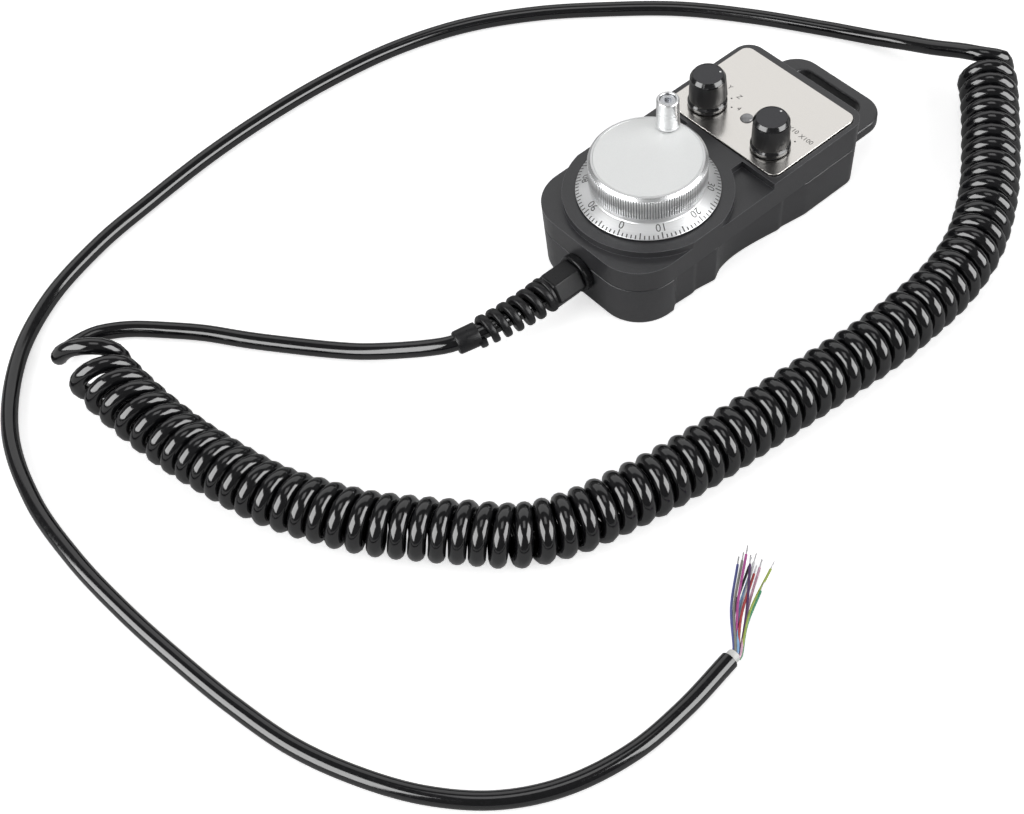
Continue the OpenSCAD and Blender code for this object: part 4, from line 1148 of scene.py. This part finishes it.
# How high the words are and how far from a switch's axis they start; how far from it the dots
# are, and their radius and sides; and how far the ink stands out
WORD_HEIGHT, WORD_REACH = 2.3 * MM, 12.6 * MM
DOT_REACH, DOT_RADIUS, DOT_SIDES = 10.6 * MM, 0.42 * MM, 16
INK_LIFT = 0.02 * MM

# Gap between the signal lamp's lens and its hole
LENS_GAP = 0.25 * MM


def build_panel():
    """The metal plate with its printed marks, and the signal lamp."""
    low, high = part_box("panel_plate")
    corner = (PLATE_CORNER, 12)
    outline = rounded_box(high[0], low[1], high[1], corner, corner)
    plate = piece("panel_face", *prism(outline, low[2], high[2]), brushed_steel())
    lens_low, lens_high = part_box("led_lens")
    hole = (lens_high[0] - lens_low[0]) / 2 + LENS_GAP
    carve(plate, [drill(hole, low[2] - PAST, high[2] + PAST, middle_of("led_lens"), 48)])
    soft_edges(plate, PLATE_ROUND, 2)
    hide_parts("panel_plate")

    verts, faces = [], []
    top = high[2] + INK_LIFT
    for node, legend in LEGENDS.items():
        for word, turn in legend:
            add_mark(verts, faces, word, middle_of(node), math.radians(90 + turn), top)
    legends = piece("panel_legends", verts, faces, print_ink())
    dress("led_lens", lamp_lens())
    dress("led_holder", inner_plastic())


def add_mark(verts, faces, word, centre, angle, height):
    """One position of a switch: its word, clear of the circle of dots, and its dot."""
    points, cells = lettering(word, WORD_HEIGHT)
    half_word = max(abs(p[0]) for p in points)
    reach = WORD_REACH + abs(math.cos(angle)) * half_word + abs(math.sin(angle)) * WORD_HEIGHT / 2
    x, y = polar(centre, reach, angle)
    add_shape(verts, faces, [(x + px, y + py, height) for px, py in points], cells)
    dot = arc(polar(centre, DOT_REACH, angle), DOT_RADIUS, 0, 360, DOT_SIDES)[:-1]
    add_shape(verts, faces, [(px, py, height) for px, py in dot], [range(DOT_SIDES)])


# ---- wheel ----

# The dial: its rim and neck, and the sloping face between them, above the wheel's low face
DIAL_RADIUS, NECK_RADIUS = 30 * MM, 24 * MM
SLOPE_FOOT, SLOPE_HEAD = 0.6 * MM, 3.8 * MM

# The knurled band: how far from the wheel's low and top faces it ends, its radii, and how far
# the run-out at its ends dips below the grooves
BAND_ABOVE, BAND_BELOW = 6.2 * MM, 1.35 * MM
CREST_RADIUS, ROOT_RADIUS, RUN_OUT_DIP = 24.6 * MM, 24.15 * MM, 0.05 * MM

# One tooth of the knurl: share of the pitch and share of the height
TOOTH = ((0.0, 0.0), (0.17, 0.8), (0.3, 1.0), (0.7, 1.0), (0.83, 0.8))

# The scale: where its marks start and end, half their width, the numbers' middle and height,
# and how far the ink stands out
MARK_OUTER, LONG_INNER, SHORT_INNER = 29.9 * MM, 27.6 * MM, 28.5 * MM
MARK_HALF, SCALE_LIFT = 0.25 * MM, 0.05 * MM
NUMBER_REACH, NUMBER_HEIGHT = 25.85 * MM, 3.3 * MM

# Gap round the disc let into the wheel's top
DISC_GAP = 0.06 * MM


def slope_height(radius):
    """Height of the dial's sloping face at a radius, above the wheel's low face."""
    share = (DIAL_RADIUS - radius) / (DIAL_RADIUS - NECK_RADIUS)
    return SLOPE_FOOT + share * (SLOPE_HEAD - SLOPE_FOOT)


def knurl_rings(teeth, low, high):
    """Rings of a straight-knurled band with run-outs at both ends."""
    rows = [(low, 0.0), (low + 0.1 * MM, 0.15), (low + 0.45 * MM, 1.0)]
    rows += [(high - 0.35 * MM, 1.0), (high, 0.0)]
    rings = []
    for z, share in rows:
        ring = []
        for i in range(teeth):
            for part, tooth in TOOTH:
                rise = share * tooth * (CREST_RADIUS - ROOT_RADIUS)
                if share < 1:
                    rise = share * rise - RUN_OUT_DIP
                angle = 2 * math.pi * (i + part) / teeth
                ring.append((*polar((0, 0), ROOT_RADIUS + rise, angle), z))
        rings.append(ring)
    return rings


def build_wheel(wheel):
    """The dial with its scale, the knurled band and the crown round the let-in disc."""
    low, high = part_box("handwheel")
    foot, top = low[2], high[2]
    band_low, band_high = foot + BAND_ABOVE, top - BAND_BELOW

    edge = NECK_RADIUS + 0.3 * MM
    skirt = soften([
        (3 * MM, foot), (DIAL_RADIUS - 0.3 * MM, foot), (DIAL_RADIUS, foot + 0.15 * MM),
        (DIAL_RADIUS, foot + SLOPE_FOOT), (edge, foot + slope_height(edge)),
        (NECK_RADIUS, foot + 4.2 * MM), (NECK_RADIUS, band_low - 0.1 * MM),
        (NECK_RADIUS + 0.1 * MM, band_low + 0.1 * MM), (NECK_RADIUS - 0.6 * MM, band_low + 0.4 * MM),
    ], 0.2 * MM)
    satin = turned_aluminium("dial_aluminium", 0.36, bump=0.15, metallic=0.75)
    dial = piece("dial_skirt", *lathe(skirt, 160), satin, "wheel", 30)
    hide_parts("handwheel")

    knurl = loft(knurl_rings(wheel.teeth, band_low, band_high))
    band = piece("knurled_band", *knurl, knurled_aluminium(), "wheel", 60)
    # Painted shade: the groove faces of each tooth take the darker groove finish
    band.data.materials.append(groove_shade())
    for face in band.data.polygons:
        if len(face.vertices) == 4 and face.index % len(TOOTH) in (0, len(TOOTH) - 1):
            face.material_index = 1

    disc = (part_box("wheel_cap")[1][0] + DISC_GAP) / MM
    crown_line = soften(
        profile_at(band_high, [(23, -0.3), (24.12, -0.05), (24.5, 0.05)])
        + profile_at(top, [(23.2, -0.02), (22.9, 0), (disc, 0), (disc, -0.5), (21.5, -0.5)]),
        0.15 * MM,
    )
    bright = turned_aluminium("bright_chamfer", 0.3, bump=0.1, metallic=0.8)
    crown = piece("wheel_crown", *lathe(crown_line, 160), bright, "wheel", 30)
    dress("wheel_cap", blasted_aluminium())
    build_scale(wheel, foot)


def build_scale(wheel, foot):
    """Divisions and numbers engraved in the dial's sloping face and filled with ink."""
    verts, faces = [], []

    def on_slope(radius, angle):
        return (*polar((0, 0), radius, angle), foot + slope_height(radius) + SCALE_LIFT)

    def angle_of(division):
        return wheel.zero_angle + 2 * math.pi * division / wheel.divisions

    for n in range(wheel.divisions):
        inner = LONG_INNER if n % 5 == 0 else SHORT_INNER
        corners = ((MARK_OUTER, -1), (MARK_OUTER, 1), (inner, 1), (inner, -1))
        mark = [on_slope(r, angle_of(n) + side * MARK_HALF / r) for r, side in corners]
        add_shape(verts, faces, mark, [range(4)])
    across = math.cos(math.atan2(SLOPE_HEAD - SLOPE_FOOT, DIAL_RADIUS - NECK_RADIUS))
    for n in range(0, wheel.divisions, 10):
        points, cells = lettering(str(n), NUMBER_HEIGHT)
        number = [
            on_slope(NUMBER_REACH + y * across, angle_of(n) - x / NUMBER_REACH) for x, y in points
        ]
        add_shape(verts, faces, number, cells)
    marks = piece("dial_scale", verts, faces, scale_ink(), "wheel")


def build_crank():
    """The sleeve that turns on its screw."""
    low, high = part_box("crank_sleeve")
    centre = middle_of("crank_sleeve")
    line = soften(
        profile_at(low[2], [(2.4, 0), (4.5, 0), (5.0, 0.5), (4.98, 1.6), (4.86, 1.9)])
        + profile_at(high[2], [
            (4.67, -0.45), (4.2, 0), (3.6, 0), (3.45, -0.2), (3.45, -3.5), (2.4, -3.6),
        ]),
        0.18 * MM,
    )
    metal = turned_aluminium("sleeve_aluminium", 0.3, bump=0.2, metallic=0.9, centre=(*centre, 0))
    sleeve = piece("crank_grip", *lathe(line, 96, centre), metal, "crank", 34)
    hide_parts("crank_sleeve")
    dress("crank_screw", plated_steel())
    # Painted shadow: a dark washer stands in for the shade at the sleeve's foot
    dress("crank_washer", dark_steel())


# ---- knobs ----

# The knob's grip: its radius, and where its satin part starts above the foot and ends below
# the top
GRIP_RADIUS = 8 * MM
GRIP_ABOVE, GRIP_BELOW = 3.3 * MM, 2.3 * MM

# The pointer rib: where it starts and ends and how soon it is full there, and the share of
# its half width over which its sides fade
RIB_ABOVE, RIB_START = 3.2 * MM, 0.6 * MM
RIB_BELOW, RIB_END = 2.6 * MM, 0.5 * MM
RIB_FADE = 0.35

# Which way the pointers show at rest, in degrees from straight ahead, and where their dots are
POINTERS = {"axis": -30, "multiplier": 0}
POINTER_REACH = 5.35 * MM


def ramp_up(value, start, reach):
    """0 up to start, then rising to 1 over a reach."""
    return min(1, max(0, (value - start) / reach))


def knob_mesh(knobs, centre, foot, top, pointer):
    """A tapered knob with a wide pointer rib: rings whose radius swells at the rib."""
    grip_top = 8.3 - knobs.taper / MM
    line = soften(
        profile_at(foot, [
            (7.4, 0.25), (7.9, 0), (8.5, 0.35), (8.5, 2.0), (7.75, 3.0), (7.85, 3.7), (8.0, 4.4),
        ])
        + profile_at(top, [
            (grip_top, -2.0), (7.65, -1.5), (6.65, 0), (6.5, 0.2), (6.3, 0.2), (6.3, -0.9),
        ]),
        0.15 * MM,
    )
    verts, faces = lathe(line, 144, centre)
    half = math.asin(knobs.rib_width / 2 / GRIP_RADIUS)
    fade = half * RIB_FADE
    out = []
    for x, y, z in verts:
        dx, dy = x - centre[0], y - centre[1]
        turn = abs((math.atan2(dy, dx) - pointer + math.pi) % (2 * math.pi) - math.pi)
        along = 1 - ramp_up(turn, half, fade)
        tall = ramp_up(z, foot + RIB_ABOVE, RIB_START) * ramp_up(-z, RIB_BELOW - top, RIB_END)
        swell = 1 + knobs.rib_proud * along * tall / GRIP_RADIUS
        out.append((centre[0] + dx * swell, centre[1] + dy * swell, z))
    return out, faces


def build_knobs(knobs):
    """The two selector knobs with their pointer dots, and the switches below them."""
    gloss, inlay, white = knob_plastic("knob_gloss", 0.15), knob_inlay(), white_paint()
    satin = knob_plastic("knob_satin", 0.4)
    steel, inner = plated_steel(), switch_plastic()
    for name, turn in POINTERS.items():
        body = f"{name}_selector"
        centre = middle_of(f"{name}_knob_cap")
        top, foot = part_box(f"{name}_knob_cap")[1][2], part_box(f"{name}_knob")[0][2]
        pointer = math.radians(90 + turn)
        verts, faces = knob_mesh(knobs, centre, foot, top, pointer)
        knob = piece(f"{name}_knob_body", verts, faces, gloss, body, 36)
        knob.data.materials.append(satin)
        for face in knob.data.polygons:
            if foot + GRIP_ABOVE < face.center.z < top - GRIP_BELOW:
                face.material_index = 1
        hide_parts(f"{name}_knob")
        dress(f"{name}_knob_cap", inlay)
        place = polar(centre, POINTER_REACH, pointer)
        dome = profile_at(top, [(0, 0.1), (0.35, 0.08), (0.55, -0.05)])
        dot = piece(f"{name}_pointer_dot", *lathe(dome, 24, place), white, body, 60)
        dress(f"{name}_switch", inner)
        dress(f"{name}_switch_nut", steel)
        dress(f"{name}_switch_shaft", bearing_steel())


# ---- gland ----

# The bend relief follows the cable: where it starts along the case, its height and length, and
# how far its end has bent aside and down
RELIEF_START, RELIEF_HEIGHT, RELIEF_LENGTH = -57.65 * MM, 15.2 * MM, 34 * MM
RELIEF_ASIDE, RELIEF_DOWN = 5 * MM, 1.5 * MM

# Its rib: turns and points on each, the share of the relief it covers, its inner radius, its
# outer radius at the start and how much less that is at the end, and half its thickness
RIB_TURNS, RIB_STEPS, RIB_SIDES = 6, 30, 16
RIB_FROM, RIB_COVER = 0.05, 0.91
RIB_BORE, RIB_OUTER, RIB_NARROWS, RIB_HALF = 3.7 * MM, 7.8 * MM, 1.35 * MM, 1.65 * MM

# How square the rib's section is: 1 makes an ellipse, 0 a rectangle
RIB_ROUND = 0.6

# The collar at its end: (place along, radius) in millimetres
COLLAR = [(0, 3.7), (0.2, 5.0), (0.9, 5.15), (5.0, 5.1), (9.3, 5.0), (9.9, 4.6), (10.0, 3.7)]

# How far from the nut's inner end its hexagon stops and the flange begins
FLANGE_THICKNESS = 2.2 * MM


def along_gland(profile, steps, height):
    """Turns a line of (radius, place along Y) about the gland's axis."""
    verts, faces = lathe(profile, steps)
    return [(x, z, height + y) for x, y, z in verts], faces


def relief_axis(share):
    """The bend relief's centreline at a share of its length."""
    bend = share * share
    return Vector((
        -RELIEF_ASIDE * bend, RELIEF_START - RELIEF_LENGTH * share, RELIEF_HEIGHT - RELIEF_DOWN * bend,
    ))


def relief_rib():
    """The spiral rib of the bend relief: a squarish section wound round the cable."""
    section = []
    for j in range(RIB_SIDES):
        t = 2 * math.pi * j / RIB_SIDES
        section.append([math.copysign(abs(v) ** RIB_ROUND, v) for v in (math.cos(t), math.sin(t))])
    rings = []
    for i in range(RIB_TURNS * RIB_STEPS + 1):
        share = i / (RIB_TURNS * RIB_STEPS)
        ahead = (relief_axis(share + 0.01) - relief_axis(share)).normalized()
        across = UP.cross(ahead).normalized()
        upward = ahead.cross(across)
        a = 2 * math.pi * RIB_TURNS * share
        outward = math.cos(a) * across + math.sin(a) * upward
        outer = RIB_OUTER - RIB_NARROWS * share
        place = relief_axis(RIB_FROM + RIB_COVER * share) + outward * (outer + RIB_BORE) / 2
        rings.append([
            place + outward * out * (outer - RIB_BORE) / 2 + ahead * on * RIB_HALF for out, on in section
        ])
    return loft(rings)


def build_gland():
    """The cable gland and the bend relief, from the nut outwards."""
    black, glossy = nylon("black_nylon", 0.34), nylon("glossy_nylon", 0.2)
    low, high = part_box("gland_nut")
    height = (low[2] + high[2]) / 2
    near, corner = low[1], (high[0] - low[0]) / 2 / MM
    back = high[1] - FLANGE_THICKNESS
    profile = (
        profile_at(near, [(3.9, 0.8), (5.2, 0), (corner - 1.3, 0), (corner, 1.4)])
        + profile_at(back, [(corner, -0.8), (corner - 0.8, 0), (5.8, 0)])
    )
    nut = piece("hex_nut", *along_gland(profile, 6, height), black, sharp_above=80)
    soft_edges(nut, 0.5 * MM, 3, 20)
    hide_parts("gland_nut")

    line = soften(
        profile_at(back, [(5.8, 0.1), (8.1, 0.1), (8.5, 0.6)])
        + profile_at(high[1], [(8.5, 1.2), (7.0, 1.4)]),
        0.3 * MM,
    )
    flange = piece("gland_flange", *along_gland(line, 48, height), glossy)

    relief = piece("bend_relief", *relief_rib(), black, sharp_above=70)
    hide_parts("strain_relief")

    start = relief_axis(RIB_FROM + RIB_COVER)
    way = (relief_axis(1) - start).normalized()
    marks, radii = zip(*COLLAR)
    verts, faces = sweep(places_along(start, way, marks), [r * MM for r in radii], 40)
    collar = piece("relief_collar", verts, faces, black, sharp_above=50)
    line = soften([(3.8, -1.6), (7.4, -1.6), (7.8, -1.2), (7.8, 0), (3.8, 0)], 0.3, steps=4)
    base = piece("relief_base", *along_gland(profile_at(near, line), 48, height), black)
    for node in ("gland_body", "gland_locknut"):
        dress(node, black)
    dress("gland_seal", soft_rubber())


def dress_inner_parts():
    """The encoder and its screws keep their solids, with finishes of their own."""
    steel, ground, plastic = plated_steel(), bearing_steel(), inner_plastic()
    for node in ("encoder_housing", "encoder_lid", "optical_sensor", "encoder_terminals"):
        dress(node, plastic)
    for node in ("encoder_bearings", "detent_plunger", "encoder_shaft", "detent_wheel", "code_disc"):
        dress(node, ground)
    for node in ("encoder_screws", "wheel_screw"):
        dress(node, steel)
    dress("encoder_board", circuit_board())


# ---- operators, panel and registration ----


class HANDWHEEL_OT_stage(bpy.types.Operator):
    """Adds the camera, the floor and the studio lights"""

    bl_idname = "handwheel.stage"
    bl_label = "Stage"

    def execute(self, context):
        build_stage(context.scene.pendant_stage)
        return {"FINISHED"}


class HANDWHEEL_OT_cable(bpy.types.Operator):
    """Adds the coiled cable with its bare end"""

    bl_idname = "handwheel.cable"
    bl_label = "Cable"

    def execute(self, context):
        build_cable(context.scene.pendant_cable)
        return {"FINISHED"}


class HANDWHEEL_OT_case(bpy.types.Operator):
    """Adds the rear shell, the hanger loop and the top cover"""

    bl_idname = "handwheel.case"
    bl_label = "Case"

    def execute(self, context):
        build_case(context.scene.pendant_case)
        return {"FINISHED"}


class HANDWHEEL_OT_panel(bpy.types.Operator):
    """Adds the metal panel face with its legends and the signal lamp"""

    bl_idname = "handwheel.panel"
    bl_label = "Panel"

    def execute(self, context):
        build_panel()
        return {"FINISHED"}


class HANDWHEEL_OT_wheel(bpy.types.Operator):
    """Adds the graduated dial, the knurled band and the crown"""

    bl_idname = "handwheel.wheel"
    bl_label = "Handwheel"

    def execute(self, context):
        build_wheel(context.scene.pendant_wheel)
        return {"FINISHED"}


class HANDWHEEL_OT_crank(bpy.types.Operator):
    """Adds the crank's turning sleeve"""

    bl_idname = "handwheel.crank"
    bl_label = "Crank"

    def execute(self, context):
        build_crank()
        return {"FINISHED"}


class HANDWHEEL_OT_knobs(bpy.types.Operator):
    """Adds the two selector knobs and finishes their switches"""

    bl_idname = "handwheel.knobs"
    bl_label = "Knobs"

    def execute(self, context):
        build_knobs(context.scene.pendant_knobs)
        return {"FINISHED"}


class HANDWHEEL_OT_gland(bpy.types.Operator):
    """Adds the cable gland and its spiral bend relief"""

    bl_idname = "handwheel.gland"
    bl_label = "Gland"

    def execute(self, context):
        build_gland()
        return {"FINISHED"}


class HANDWHEEL_OT_inner(bpy.types.Operator):
    """Finishes the encoder and the other parts inside the case"""

    bl_idname = "handwheel.inner"
    bl_label = "Inner parts"

    def execute(self, context):
        dress_inner_parts()
        return {"FINISHED"}


STEPS = ("stage", "cable", "case", "panel", "wheel", "crank", "knobs", "gland", "inner")


class HANDWHEEL_PT_tools(bpy.types.Panel):
    """Lists the steps that build the handwheel"""

    bl_label = "Pulse Generator Handwheel"
    bl_idname = "HANDWHEEL_PT_tools"
    bl_space_type = "VIEW_3D"
    bl_region_type = "UI"
    bl_category = "Handwheel"

    def draw(self, context):
        for step in STEPS:
            self.layout.operator(f"handwheel.{step}")


SETTINGS = {
    "pendant_case": PendantCase,
    "pendant_wheel": PendantWheel,
    "pendant_knobs": PendantKnobs,
    "pendant_cable": PendantCable,
    "pendant_stage": PendantStage,
}
CLASSES = (
    *SETTINGS.values(),
    HANDWHEEL_OT_stage,
    HANDWHEEL_OT_cable,
    HANDWHEEL_OT_case,
    HANDWHEEL_OT_panel,
    HANDWHEEL_OT_wheel,
    HANDWHEEL_OT_crank,
    HANDWHEEL_OT_knobs,
    HANDWHEEL_OT_gland,
    HANDWHEEL_OT_inner,
    HANDWHEEL_PT_tools,
)


def register():
    for cls in CLASSES:
        bpy.utils.register_class(cls)
    for name, group in SETTINGS.items():
        setattr(bpy.types.Scene, name, PointerProperty(type=group))


def unregister():
    for name in SETTINGS:
        delattr(bpy.types.Scene, name)
    for cls in reversed(CLASSES):
        bpy.utils.unregister_class(cls)


def main():
    register()
    for step in STEPS:
        getattr(bpy.ops.handwheel, step)()


if __name__ == "__main__":
    main()
